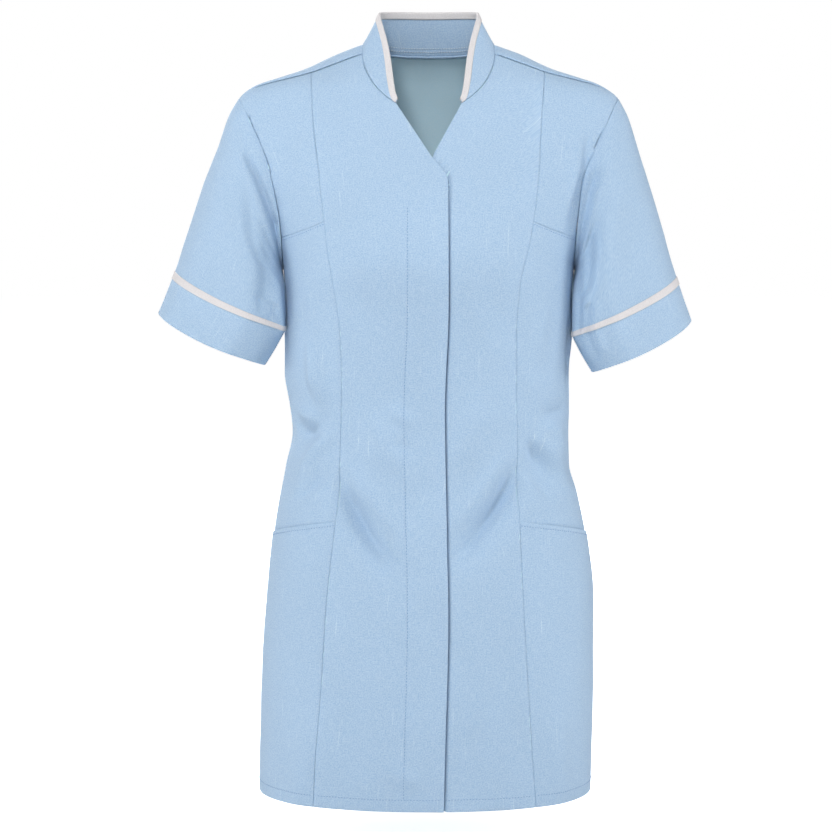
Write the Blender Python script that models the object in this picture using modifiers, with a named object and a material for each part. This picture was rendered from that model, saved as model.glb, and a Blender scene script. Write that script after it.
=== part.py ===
"""A short-sleeved tunic with a stand collar, filled out as if worn, in metres, +Z up.

+X is the wearer's left, -Y the front. The origin lies between the shoulders, at shoulder height.
Right and left in names are the wearer's. Each sewn piece is a flat grid shaped on one common torso,
or on one common sleeve, and given the cloth's thickness by a Solidify modifier.
"""

import math

import bmesh
import bpy
import numpy as np

CLOTH = 0.0014
BINDING_CLOTH = 0.0022
LAP = 0.0020
FLY_LAP = 0.0026
SEAM_HALF_GAP = 0.0002
ARMHOLE_HALF_GAP = 0.0006
SHOULDER_HALF_GAP = 0.0004
NECK_HALF_GAP = 0.0013
COLLAR_BAND_GAP = 0.0007
NARROWEST_COLLAR = 0.0012
BAND_WIDTH = 0.0073

UNDERARM = -0.194
SHOULDER_TIP = -0.022
HEM = -0.740
FRONT_SEAM_TOP = 0.003
TIP_HALF_WIDTH = 0.1955
NECK_POINT_HALF_WIDTH = 0.0655
NECK_POINT = 0.0335
NECK_SEAM_CORNER = (0.0680, 0.0225)

# Columns and rows of the cloth grids. Panels that share a seam share its points.
NECK_FRONT_ROWS = 5
V_EDGE_ROWS = 3
NECK_BACK_COLUMNS = 7
SHOULDER_COLUMNS = 7
SIDE_COLUMNS = 6
TIP_TO_BUST_ROWS = 8
BUST_TO_UNDERARM_ROWS = 3
UPPER_ROWS = TIP_TO_BUST_ROWS + BUST_TO_UNDERARM_ROWS
BODICE_ROWS = 9
SKIRT_ROWS = 9
SLEEVE_ROWS = 8
CUFF_ROWS = 3
COLLAR_ROWS = 3

CLOTH_ROUGHNESS = 0.85
SKY_BLUE = (0.43, 0.60, 0.80, 1.0)
OFF_WHITE = (0.80, 0.76, 0.77, 1.0)

# Level sections of the torso. Half widths and depths are measured from the side seams' plane, and
# square is the power that rounds the section's corners. Between the shoulder tip and the underarm
# the section runs on, wider than the cloth, inside the sleeve.
# Columns: height, right half width, left half width, front depth, back depth, square.
TORSO = (
    (0.0400, 0.0480, 0.0480, 0.0060, 0.0150, 2.20),
    (NECK_POINT, NECK_POINT_HALF_WIDTH, NECK_POINT_HALF_WIDTH, 0.0120, 0.0330, 2.20),
    (0.0240, 0.0910, 0.0910, 0.0205, 0.0510, 2.20),
    (0.0080, 0.1270, 0.1270, 0.0360, 0.0630, 2.20),
    (-0.0020, 0.1540, 0.1540, 0.0435, 0.0690, 2.20),
    (-0.0110, 0.1810, 0.1790, 0.0495, 0.0730, 2.15),
    (SHOULDER_TIP, TIP_HALF_WIDTH, TIP_HALF_WIDTH, 0.0560, 0.0775, 2.10),
    (-0.0360, 0.2035, 0.2035, 0.0640, 0.0825, 2.05),
    (-0.0520, 0.2048, 0.2048, 0.0735, 0.0875, 2.00),
    (-0.0720, 0.2000, 0.2000, 0.0840, 0.0925, 2.00),
    (-0.0980, 0.1900, 0.1900, 0.0970, 0.0980, 2.00),
    (-0.1230, 0.1765, 0.1765, 0.1100, 0.1030, 2.00),
    (-0.1470, 0.1655, 0.1655, 0.1200, 0.1060, 2.05),
    (-0.1670, 0.1575, 0.1575, 0.1260, 0.1075, 2.15),
    (UNDERARM, 0.1503, 0.1503, 0.1290, 0.1070, 2.25),
    (-0.2370, 0.1480, 0.1490, 0.1210, 0.1040, 2.30),
    (-0.2680, 0.1490, 0.1485, 0.1150, 0.1015, 2.30),
    (-0.3050, 0.1490, 0.1455, 0.1090, 0.0990, 2.30),
    (-0.3400, 0.1435, 0.1455, 0.1055, 0.0975, 2.30),
    (-0.3680, 0.1410, 0.1450, 0.1040, 0.0970, 2.30),
    (-0.4000, 0.1475, 0.1460, 0.1050, 0.1000, 2.30),
    (-0.4300, 0.1535, 0.1545, 0.1070, 0.1040, 2.30),
    (-0.4900, 0.1630, 0.1660, 0.1150, 0.1190, 2.30),
    (-0.5450, 0.1680, 0.1710, 0.1210, 0.1300, 2.30),
    (-0.6400, 0.1735, 0.1705, 0.1270, 0.1370, 2.30),
    (HEM, 0.1760, 0.1680, 0.1290, 0.1380, 2.30),
)

# The long front seam from hem to shoulder, as distances from the centre.
# Columns: height, right, left.
FRONT_SEAM = (
    (FRONT_SEAM_TOP, 0.1205, 0.1185),
    (-0.0510, 0.1170, 0.1140),
    (-0.0980, 0.1110, 0.1110),
    (-0.1530, 0.1045, 0.1040),
    (-0.1820, 0.1010, 0.0980),
    (-0.2120, 0.0960, 0.0910),
    (-0.2670, 0.0890, 0.0880),
    (-0.3080, 0.0880, 0.0880),
    (-0.3700, 0.0890, 0.0895),
    (-0.4340, 0.0930, 0.0910),
    (-0.5310, 0.1030, 0.0950),
    (-0.6520, 0.1110, 0.1020),
    (HEM, 0.1170, 0.1080),
)

# The armhole seam, as distances from the centre in front and behind.
# Columns: height, front, back.
ARMHOLE = (
    (SHOULDER_TIP, TIP_HALF_WIDTH, TIP_HALF_WIDTH),
    (-0.0360, 0.1875, 0.1910),
    (-0.0520, 0.1800, 0.1855),
    (-0.0720, 0.1705, 0.1780),
    (-0.0990, 0.1610, 0.1690),
    (-0.1240, 0.1550, 0.1620),
    (-0.1470, 0.1515, 0.1570),
    (-0.1670, 0.1500, 0.1535),
    (-0.1840, 0.1498, 0.1515),
    (UNDERARM, 0.1503, 0.1503),
)


# The shoulder seam, which lies in front of the shoulder's ridge, from the neck to the tip.
# Columns: from centre, height.
SHOULDER_SEAM = (
    NECK_SEAM_CORNER,
    (0.0950, 0.0125),
    (0.1205, 0.0030),
    (0.1500, -0.0045),
    (0.1800, -0.0125),
    (TIP_HALF_WIDTH, SHOULDER_TIP),
)

# The front half of the neck seam, from the collar's end to the shoulder seam.
# Columns: part of the way, from centre, height.
NECK_FRONT = (
    (0.00, 0.0335, -0.0300),
    (0.20, 0.0430, -0.0235),
    (0.41, 0.0525, -0.0145),
    (0.63, 0.0605, -0.0030),
    (0.86, 0.0665, 0.0120),
    (1.00, *NECK_SEAM_CORNER),
)

# The back half of the neck seam seen from above, from the shoulder seam to the centre back.
# Columns: part of the way, from centre, behind the side seams' plane.
NECK_BACK = (
    (0.00, NECK_SEAM_CORNER[0], -0.0160),
    (0.15, 0.0670, -0.0030),
    (0.30, 0.0640, 0.0130),
    (0.45, 0.0580, 0.0270),
    (0.60, 0.0470, 0.0395),
    (0.75, 0.0320, 0.0465),
    (0.88, 0.0160, 0.0493),
    (1.00, 0.0000, 0.0500),
)

# The collar's free edge, by its share of the neck seam's length from the collar's end.
# Columns: share, from centre, behind the side seams' plane, height.
COLLAR_EDGE = (
    (0.000, 0.0316, -0.0600, -0.0255),
    (0.069, 0.0340, -0.0560, -0.0180),
    (0.144, 0.0360, -0.0470, -0.0050),
    (0.226, 0.0385, -0.0340, 0.0140),
    (0.324, 0.0430, -0.0190, 0.0370),
    (0.410, 0.0475, -0.0080, 0.0530),
    (0.483, 0.0500, 0.0010, 0.0620),
    (0.557, 0.0505, 0.0110, 0.0665),
    (0.655, 0.0465, 0.0240, 0.0685),
    (0.743, 0.0385, 0.0330, 0.0695),
    (0.835, 0.0260, 0.0395, 0.0700),
    (0.918, 0.0130, 0.0425, 0.0700),
    (1.000, 0.0000, 0.0435, 0.0700),
)

# The right front's closing edge past the centre, and the edge of the left front under it.
# Columns: height, past centre.
CLOSING_EDGE = (
    (-0.1030, 0.0180),
    (-0.1150, 0.0190),
    (-0.2350, 0.0190),
    (-0.3410, 0.0155),
    (-0.4310, 0.0170),
    (-0.5480, 0.0190),
    (-0.6780, 0.0160),
    (HEM, 0.0145),
)
UNDERLAP = 0.0210
V_FOOT = -0.103
V_END_FROM_CENTRE = 0.0335
V_END = -0.030
V_CROSSING_PAST_CENTRE = 0.003
V_CROSSING = -0.086
LAP_EASE_START = 0.024
LAP_EASE_END = 0.036

BUST_SEAM_INNER = -0.150
BUST_SEAM_OUTER = -0.166
BUST_SEAM_SAG = 0.001
POCKET_MOUTH_INNER = -0.4515
POCKET_MOUTH_OUTER = -0.4720

# Sections of the sleeve, from the armhole at 0 to the piping at 1 and on through the cuff. Outer and
# inner are the ends of a section's long axis, depth is half of its front to back size, sag is how far
# its front hangs below that axis, and set_back moves it behind the side seams' plane.
# Columns: along, outer x, outer z, inner x, inner z, depth, sag, set back.
SLEEVE_SECTION = (
    (0.00, TIP_HALF_WIDTH, SHOULDER_TIP, 0.1520, UNDERARM, 0.0520, 0.000, 0.000),
    (0.12, 0.2060, -0.0400, 0.1535, -0.1985, 0.0520, 0.000, 0.000),
    (0.30, 0.2180, -0.0730, 0.1535, -0.2080, 0.0510, 0.001, 0.001),
    (0.50, 0.2315, -0.1080, 0.1535, -0.2200, 0.0490, 0.004, 0.002),
    (0.75, 0.2480, -0.1560, 0.1537, -0.2370, 0.0460, 0.007, 0.003),
    (1.00, 0.2645, -0.2040, 0.1545, -0.2550, 0.0440, 0.010, 0.004),
    (1.08, 0.2705, -0.2190, 0.1550, -0.2680, 0.0440, 0.011, 0.004),
    (1.22, 0.2810, -0.2440, 0.1650, -0.2940, 0.0430, 0.012, 0.004),
)
CUFF_HEM = 1.22
PIPING_HALF_SPAN = 0.018
CUFF_JOIN_HALF_GAP = 0.002
ARMHOLE_FADE = 0.45
SLEEVE_FOLD_RUN_OUT = 0.15
LEFT_SLEEVE_DROP = 0.006
SLEEVE_SHIFT = 0.0006
UNDERARM_SHIFT = 0.0016

# The largest folds of the torso: ends by distance from the centre and height, then how wide the
# fold's flank is and how far it rises, with troughs below zero.
FOLD_COLUMNS = ("side", "behind", "from_x", "from_z", "to_x", "to_z", "flank", "rise")
FOLDS = (
    (-1, 0, 0.1190, -0.270, 0.0980, -0.340, 0.012, 0.0040),
    (-1, 0, 0.1250, -0.392, 0.0950, -0.360, 0.013, -0.0040),
    (-1, 0, 0.0900, -0.418, 0.0330, -0.500, 0.015, -0.0040),
    (-1, 0, 0.0600, -0.345, 0.0250, -0.400, 0.018, 0.0025),
    (1, 0, 0.0850, -0.405, 0.0330, -0.480, 0.016, -0.0045),
    (1, 0, 0.0950, -0.371, 0.1320, -0.422, 0.013, -0.0040),
    (1, 0, 0.1150, -0.352, 0.1370, -0.385, 0.013, 0.0035),
    (1, 0, 0.0560, -0.330, 0.0300, -0.395, 0.018, 0.0025),
    (-1, 1, 0.1250, -0.350, 0.0500, -0.385, 0.018, -0.0050),
    (-1, 1, 0.1300, -0.425, 0.0450, -0.400, 0.016, 0.0040),
    (-1, 1, 0.1150, -0.470, 0.0350, -0.420, 0.018, -0.0045),
    (-1, 1, 0.1350, -0.180, 0.0900, -0.260, 0.018, 0.0040),
    (1, 1, 0.1300, -0.345, 0.0400, -0.370, 0.018, -0.0045),
    (1, 1, 0.1250, -0.405, 0.0550, -0.392, 0.016, 0.0040),
    (1, 1, 0.1250, -0.455, 0.0300, -0.430, 0.018, -0.0050),
    (1, 1, 0.1350, -0.175, 0.0850, -0.250, 0.018, 0.0040),
)
QUARTER_GIRTH = 0.22

# The largest folds of the sleeves: where they lie around the section, in turns from its outer end
# by way of the front, and how far they rise.
# Columns: turn, from along, to along, flank in turns, rise.
SLEEVE_FOLDS = (
    (0.33, 0.05, 0.75, 0.030, -0.0035),
    (0.24, 0.20, 0.90, 0.035, 0.0025),
    (0.14, 0.10, 0.80, 0.035, -0.0020),
    (0.68, 0.05, 0.75, 0.030, -0.0035),
    (0.80, 0.15, 0.90, 0.035, 0.0025),
)


def curve_through(rows):
    """A smooth function through the rows, whose first column is what it depends on."""
    rows = np.array(sorted(rows))
    at = rows[:, 0]
    values = rows[:, 1:]
    steps = np.diff(at)[:, None]
    slopes = np.diff(values, axis=0) / steps
    before = slopes[:-1]
    after = slopes[1:]
    same_way = before * after > 0
    total = np.where(same_way, before + after, 1.0)
    tangents = np.vstack((slopes[:1], np.where(same_way, 2 * before * after / total, 0.0), slopes[-1:]))

    def value(where):
        where = min(max(where, at[0]), at[-1])
        row = min(max(int(np.searchsorted(at, where)) - 1, 0), len(at) - 2)
        step = steps[row, 0]
        part = (where - at[row]) / step
        rest = 1 - part
        return (
            values[row] * rest * rest * (1 + 2 * part)
            + values[row + 1] * part * part * (1 + 2 * rest)
            + (tangents[row] * rest - tangents[row + 1] * part) * part * rest * step
        )

    return value


def ease(part):
    """0 below 0, 1 above 1 and a smooth step between."""
    part = min(max(part, 0.0), 1.0)
    return part * part * (3 - 2 * part)


torso_at = curve_through(TORSO)
front_seam_at = curve_through(FRONT_SEAM)
armhole_at = curve_through(ARMHOLE)
shoulder_seam_at = curve_through(SHOULDER_SEAM)
neck_front_at = curve_through(NECK_FRONT)
neck_back_at = curve_through(NECK_BACK)
collar_edge_at = curve_through(COLLAR_EDGE)
closing_edge_at = curve_through(CLOSING_EDGE)
sleeve_section_at = curve_through(SLEEVE_SECTION)


def section(side, height):
    """Half width, front depth, back depth and squareness of the torso at this height."""
    right_half, left_half, front, back, square = torso_at(height)
    return (right_half if side < 0 else left_half), front, back, square


def around_at(side, x, height, behind=False):
    """The share of the way around, 0 at centre front, 1 at the side and 2 at centre back."""
    half, _, _, square = section(side, height)
    part = min(abs(x) / half, 1.0) ** (square / 2)
    around = math.copysign(math.asin(part) * 2 / math.pi, x)
    return 2 - around if behind else around


def smooth_torso(side, around, height):
    """A point of the torso without its folds."""
    half, front, back, square = section(side, height)
    sine = math.sin(around * math.pi / 2)
    cosine = math.cos(around * math.pi / 2)
    x = half * math.copysign(abs(sine) ** (2 / square), sine)
    depth = front if around < 1 else back
    y = -depth * math.copysign(abs(cosine) ** (2 / square), cosine)
    return np.array((side * x, y, height))


def from_centre(side, around, height):
    """The distance from the centre of a point this far around."""
    return smooth_torso(side, around, height)[0] * side


def outward(side, around, height):
    """The direction out of the torso at this point."""
    step = 0.01
    along = smooth_torso(side, around + step, height) - smooth_torso(side, around - step, height)
    up = smooth_torso(side, around, height + step) - smooth_torso(side, around, height - step)
    normal = np.cross(along, up) * side
    return normal / max(np.linalg.norm(normal), 1e-9)


def fold_ends(row):
    """A fold with its ends as (distance around from the centre, height), in front or behind."""
    fold = dict(zip(FOLD_COLUMNS, row))
    start = around_at(fold["side"], fold["from_x"], fold["from_z"])
    end = around_at(fold["side"], fold["to_x"], fold["to_z"])
    fold["start"] = np.array((fold["side"] * start * QUARTER_GIRTH, fold["from_z"]))
    fold["end"] = np.array((fold["side"] * end * QUARTER_GIRTH, fold["to_z"]))
    return fold


TORSO_FOLDS = [fold_ends(row) for row in FOLDS]


def fold_rise(side, around, height):
    """How far the folds push the cloth out here, the same for every layer that lies here."""
    rise = 0.0
    for fold in TORSO_FOLDS:
        from_middle = 2 - around if fold["behind"] else around
        here = np.array((side * from_middle * QUARTER_GIRTH, height))
        run = fold["end"] - fold["start"]
        part = float(np.dot(here - fold["start"], run) / np.dot(run, run))
        nearest = fold["start"] + run * min(max(part, 0.0), 1.0)
        away = np.linalg.norm(here - nearest) / fold["flank"]
        rise += fold["rise"] * math.exp(-away * away)
    return rise


def torso(side, around, height, out=0.0):
    """A point of the cloth on the torso, moved out by so much."""
    out += fold_rise(side, around, height)
    point = smooth_torso(side, around, height)
    if out:
        point = point + outward(side, around, height) * out
    return point


# The ridge of the shoulder, where front and back meet, by its distance from the centre.
RIDGE_STEPS = 60
RIDGE_HEIGHTS = np.linspace(NECK_POINT, SHOULDER_TIP, RIDGE_STEPS)
RIDGE_HALVES = {side: [section(side, height)[0] for height in RIDGE_HEIGHTS] for side in (-1, 1)}
RIDGE_RISE_INSIDE_NECK = 0.1


def ridge(side, x):
    inside = max(NECK_POINT_HALF_WIDTH - abs(x), 0.0)
    return float(np.interp(abs(x), RIDGE_HALVES[side], RIDGE_HEIGHTS)) + inside * RIDGE_RISE_INSIDE_NECK


def drape_of(side, x, height, behind):
    """(x, drape) of a point, with drape 0 on the ridge, -1 on the underarm's level in front and 1 behind."""
    top = ridge(side, x)
    drape = math.sqrt(max(top - height, 0.0) / (top - UNDERARM))
    return np.array((x, drape if behind else -drape))


def around_height(side, place):
    """(around, height) of a point that is given as (x, drape)."""
    x, drape = place
    top = ridge(side, x)
    height = top - (top - UNDERARM) * drape * drape
    return np.array((around_at(side, x, height, drape > 0), height))


def spread(start, end, count):
    """Evenly spaced values from start to end, both included."""
    return np.linspace(start, end, count + 1)


def filled(bottom, top, inner, outer):
    """Places inside four edges, as rows from bottom to top of places from inner to outer."""
    across = np.linspace(0, 1, len(bottom))[None, :, None]
    up = np.linspace(0, 1, len(inner))[:, None, None]
    bottom, top = np.array(bottom)[None], np.array(top)[None]
    inner, outer = np.array(inner)[:, None], np.array(outer)[:, None]
    corners = (
        (1 - up) * ((1 - across) * bottom[:, :1] + across * bottom[:, -1:])
        + up * ((1 - across) * top[:, :1] + across * top[:, -1:])
    )
    return (1 - up) * bottom + up * top + (1 - across) * inner + across * outer - corners


def front_seam_x(side, height):
    return front_seam_at(height)[0 if side < 0 else 1]


def front_seam_place(side, height):
    return np.array((around_at(side, front_seam_x(side, height), height), height))


def armhole_angle(height):
    return math.acos(1 - 2 * (SHOULDER_TIP - height) / (SHOULDER_TIP - UNDERARM))


def armhole_heights(start, end, rows):
    """Heights along the armhole between two heights, closer together at its top and bottom."""
    angles = spread(armhole_angle(start), armhole_angle(end), rows)
    return [SHOULDER_TIP - (SHOULDER_TIP - UNDERARM) * (1 - math.cos(angle)) / 2 for angle in angles]


def armhole_x(height, behind):
    return armhole_at(height)[1 if behind else 0]


# Heights of the rows where panels meet, from top to bottom.
FRONT_SEAM_UPPER = list(spread(FRONT_SEAM_TOP, BUST_SEAM_INNER, TIP_TO_BUST_ROWS))
FRONT_SEAM_UPPER += list(spread(BUST_SEAM_INNER, UNDERARM, BUST_TO_UNDERARM_ROWS))[1:]
ARMHOLE_FRONT_UPPER = armhole_heights(SHOULDER_TIP, BUST_SEAM_OUTER, TIP_TO_BUST_ROWS)
ARMHOLE_FRONT_LOWER = armhole_heights(BUST_SEAM_OUTER, UNDERARM, BUST_TO_UNDERARM_ROWS)
ARMHOLE_BACK = armhole_heights(SHOULDER_TIP, UNDERARM, UPPER_ROWS)
INNER_ROWS = list(spread(UNDERARM, POCKET_MOUTH_INNER, BODICE_ROWS))
INNER_ROWS += list(spread(POCKET_MOUTH_INNER, HEM, SKIRT_ROWS))[1:]
OUTER_ROWS = list(spread(UNDERARM, POCKET_MOUTH_OUTER, BODICE_ROWS))
OUTER_ROWS += list(spread(POCKET_MOUTH_OUTER, HEM, SKIRT_ROWS))[1:]


def shoulder_places(side, start, end, columns):
    """Places along the shoulder seam, by distance from the centre."""
    return [drape_of(side, x, shoulder_seam_at(x)[0], False) for x in spread(start, end, columns)]


def lap_in(side, x):
    """How far the left front is drawn in under the right one, this far from the centre."""
    if side < 0:
        return 0.0
    return -FLY_LAP * (1 - ease((x - LAP_EASE_START) / (LAP_EASE_END - LAP_EASE_START)))


def closing_x(side, height):
    """The edge beside the centre, as a distance from the centre that is negative past it."""
    if side > 0:
        return -UNDERLAP
    return -closing_edge_at(height)[0]


def v_edge(side):
    """The sloping neck edge from the closing edge up to the collar's end, as (x, height)."""
    past = V_CROSSING_PAST_CENTRE
    foot = -closing_edge_at(V_FOOT)[0] if side < 0 else -UNDERLAP
    middle_x = -past if side < 0 else past
    slope = (V_END - V_CROSSING) / (V_END_FROM_CENTRE - middle_x)
    foot_height = V_FOOT if side < 0 else V_CROSSING - slope * (middle_x + UNDERLAP)
    points = ((foot, foot_height), (middle_x, V_CROSSING), (V_END_FROM_CENTRE, V_END))
    return points


def front_edge(side):
    """The centre front's inner edge from the underarm's level up to the shoulder seam, as (x, height)."""
    foot, crossing, end = v_edge(side)
    placket_rows = UPPER_ROWS - V_EDGE_ROWS - NECK_FRONT_ROWS
    points = [(closing_x(side, height), height) for height in spread(UNDERARM, foot[1], placket_rows)]
    points[-1] = foot
    for part in spread(0, 1, V_EDGE_ROWS)[1:]:
        if part < 0.5:
            begin, finish, share = foot, crossing, part * 2
        else:
            begin, finish, share = crossing, end, part * 2 - 1
        points.append(tuple(begin[axis] + (finish[axis] - begin[axis]) * share for axis in (0, 1)))
    points += [tuple(neck_front_at(part)) for part in spread(0, 1, NECK_FRONT_ROWS)[1:]]
    return points


def front_grid(side):
    """The centre front, from hem to neck and shoulder."""
    inner = [drape_of(side, x, height, False) for x, height in front_edge(side)]
    top = shoulder_places(side, inner[-1][0], front_seam_x(side, FRONT_SEAM_TOP), SHOULDER_COLUMNS)
    inner[-1] = top[0]
    outer = []
    for height in reversed(FRONT_SEAM_UPPER):
        outer.append(drape_of(side, front_seam_x(side, height), height, False))
    outer[-1] = top[-1]
    start = around_at(side, closing_x(side, UNDERARM), UNDERARM)
    end = front_seam_place(side, UNDERARM)[0]
    bottom = []
    for around in spread(start, end, SHOULDER_COLUMNS):
        bottom.append(drape_of(side, from_centre(side, around, UNDERARM), UNDERARM, False))
    upper = [[around_height(side, place) for place in row] for row in filled(bottom, top, inner, outer)]
    lower = []
    for height in reversed(INNER_ROWS[1:]):
        start = around_at(side, closing_x(side, height), height)
        end = front_seam_place(side, height)[0]
        lower.append([np.array((around, height)) for around in spread(start, end, SHOULDER_COLUMNS)])
    grid = []
    for row in lower + upper:
        points = []
        for around, height in row:
            points.append(torso(side, around, height, lap_in(side, from_centre(side, around, height))))
        grid.append(points)
    return np.array(grid)


def upper_side_grid(side):
    """The piece between the shoulder, the armhole and the bust seam."""
    inner = []
    for height in reversed(FRONT_SEAM_UPPER[: TIP_TO_BUST_ROWS + 1]):
        inner.append(drape_of(side, front_seam_x(side, height), height, False))
    outer = []
    for height in reversed(ARMHOLE_FRONT_UPPER):
        outer.append(drape_of(side, armhole_x(height, False), height, False))
    top = shoulder_places(side, front_seam_x(side, FRONT_SEAM_TOP), TIP_HALF_WIDTH, SIDE_COLUMNS)
    inner[-1], outer[-1] = top[0], top[-1]
    bottom = [drape_of(side, x, height, False) for x, height in bust_seam(side)]
    places = filled(bottom, top, inner, outer)
    return np.array([[torso(side, *around_height(side, place)) for place in row] for row in places])


def bust_seam(side):
    """The short seam from the long front seam to the armhole, as (x, height)."""
    start = front_seam_x(side, BUST_SEAM_INNER)
    end = armhole_x(BUST_SEAM_OUTER, False)
    points = []
    for part in spread(0, 1, SIDE_COLUMNS):
        sag = BUST_SEAM_SAG * math.sin(part * math.pi)
        height = BUST_SEAM_INNER + (BUST_SEAM_OUTER - BUST_SEAM_INNER) * part - sag
        points.append((start + (end - start) * part, height))
    return points


def side_front_places(side):
    """(around, height) of the side front, from hem to bust seam."""
    top = [np.array((around_at(side, x, height), height)) for x, height in bust_seam(side)]
    inner = [front_seam_place(side, height) for height in reversed(FRONT_SEAM_UPPER[TIP_TO_BUST_ROWS:])]
    outer = []
    for height in reversed(ARMHOLE_FRONT_LOWER):
        outer.append(np.array((around_at(side, armhole_x(height, False), height), height)))
    bottom = [np.array((around, UNDERARM)) for around in spread(inner[0][0], 1.0, SIDE_COLUMNS)]
    upper = filled(bottom, top, inner, outer)
    lower = []
    for inner_height, outer_height in zip(reversed(INNER_ROWS[1:]), reversed(OUTER_ROWS[1:])):
        row = []
        start = front_seam_place(side, inner_height)[0]
        for part in spread(0, 1, SIDE_COLUMNS):
            height = inner_height + (outer_height - inner_height) * part
            row.append(np.array((start + (1.0 - start) * part, height)))
        lower.append(row)
    return np.concatenate((np.array(lower), upper))


def back_half_grid(side):
    """One half of the back, as rows from hem to shoulder of points from centre back to the side."""
    neck = []
    for part in spread(1, 0, NECK_BACK_COLUMNS):
        x, y = neck_back_at(part)
        neck.append(drape_of(side, x, height_behind(side, x, y), y > 0))
    seam_x = front_seam_x(side, FRONT_SEAM_TOP)
    shoulder = shoulder_places(side, NECK_SEAM_CORNER[0], seam_x, SHOULDER_COLUMNS)
    to_tip = shoulder_places(side, seam_x, TIP_HALF_WIDTH, SIDE_COLUMNS)
    neck[-1] = shoulder[0]
    top = neck + shoulder[1:] + to_tip[1:]
    columns = len(top) - 1
    outer = [drape_of(side, armhole_x(height, True), height, True) for height in reversed(ARMHOLE_BACK)]
    outer[-1] = top[-1]
    inner = [np.array((0.0, drape)) for drape in spread(1.0, top[0][1], UPPER_ROWS)]
    bottom = []
    for around in spread(2.0, 1.0, columns):
        bottom.append(drape_of(side, from_centre(side, around, UNDERARM), UNDERARM, True))
    places = filled(bottom, top, inner, outer)
    upper = [[torso(side, *around_height(side, place)) for place in row] for row in places]
    lower = []
    for inner_height, outer_height in zip(reversed(INNER_ROWS[1:]), reversed(OUTER_ROWS[1:])):
        row = []
        for part in spread(0, 1, columns):
            height = inner_height + (outer_height - inner_height) * part
            row.append(torso(side, 2.0 - part, height))
        lower.append(row)
    return np.array(lower + upper)


HEIGHT_HALVINGS = 40


def height_behind(side, x, y):
    """The height at which the torso lies this far from the side seams' plane."""
    low = UNDERARM
    high = ridge(side, x)
    for _ in range(HEIGHT_HALVINGS):
        height = (low + high) / 2
        half, front, back, square = section(side, height)
        depth = front if y < 0 else back
        reach = depth * max(1 - (abs(x) / half) ** square, 0.0) ** (1 / square)
        if reach > abs(y):
            low = height
        else:
            high = height
    return (low + high) / 2


def neck_seam(side):
    """Points of half of the neck seam, from the collar's end to the centre back."""
    points = []
    for part in spread(0, 1, NECK_FRONT_ROWS):
        x, height = neck_front_at(part)
        points.append(torso(side, around_at(side, x, height), height))
    for part in spread(0, 1, NECK_BACK_COLUMNS)[1:]:
        x, y = neck_back_at(part)
        height = height_behind(side, x, y)
        points.append(torso(side, around_at(side, x, height, y > 0), height))
    return np.array(points)


def collar_lines():
    """The neck seam and the collar's free edge, all round from the right end to the left one."""
    seam_halves = []
    edge_halves = []
    for side in (-1, 1):
        seam = neck_seam(side)
        lengths = np.concatenate(([0.0], np.cumsum(np.linalg.norm(np.diff(seam, axis=0), axis=1))))
        edge = []
        for share in lengths / lengths[-1]:
            x, y, height = collar_edge_at(share)
            edge.append((side * x, y, height))
        seam_halves.append(seam)
        edge_halves.append(np.array(edge))
    seam = np.concatenate((seam_halves[0], seam_halves[1][-2::-1]))
    edge = np.concatenate((edge_halves[0], edge_halves[1][-2::-1]))
    return seam, edge


def collar_grids():
    """The stand collar up to its binding, and the binding along its free edge."""
    seam, edge = collar_lines()
    reach = np.linalg.norm(edge - seam, axis=1)
    up = (edge - seam) / reach[:, None]
    foot = NECK_HALF_GAP
    top = np.maximum(reach - BAND_WIDTH - COLLAR_BAND_GAP, foot + NARROWEST_COLLAR)
    collar = [seam + up * (foot + (top - foot) * part)[:, None] for part in spread(0, 1, COLLAR_ROWS)]
    binding = [seam + up * (top + COLLAR_BAND_GAP)[:, None], edge]
    return np.array(collar), np.array(binding)


def armhole_loop(side):
    """Points around the armhole, from the underarm by way of the back, the tip and the front."""
    points = []
    for height in reversed(ARMHOLE_BACK):
        points.append(torso(side, around_at(side, armhole_x(height, True), height, True), height))
    for height in ARMHOLE_FRONT_UPPER[1:] + ARMHOLE_FRONT_LOWER[1:]:
        points.append(torso(side, around_at(side, armhole_x(height, False), height), height))
    points[-1] = points[0]
    return np.array(points)


def sleeve_section(side, along):
    """Centre, long half axis, half depth and sag of the sleeve here."""
    outer_x, outer_z, inner_x, inner_z, depth, sag, set_back = sleeve_section_at(along)
    drop = LEFT_SLEEVE_DROP * along if side > 0 else 0.0
    outer = np.array((side * (outer_x - drop), set_back, outer_z - drop))
    inner = np.array((side * inner_x, set_back, inner_z - drop))
    return (outer + inner) / 2, (outer - inner) / 2, depth, sag


def sleeve_fold_rise(turn, along):
    rise = 0.0
    for fold_turn, start, end, flank, height in SLEEVE_FOLDS:
        away = abs((turn - fold_turn + 0.5) % 1.0 - 0.5) / flank
        length = ease((along - start) / SLEEVE_FOLD_RUN_OUT) * ease((end - along) / SLEEVE_FOLD_RUN_OUT)
        rise += height * math.exp(-away * away) * length
    return rise


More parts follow.
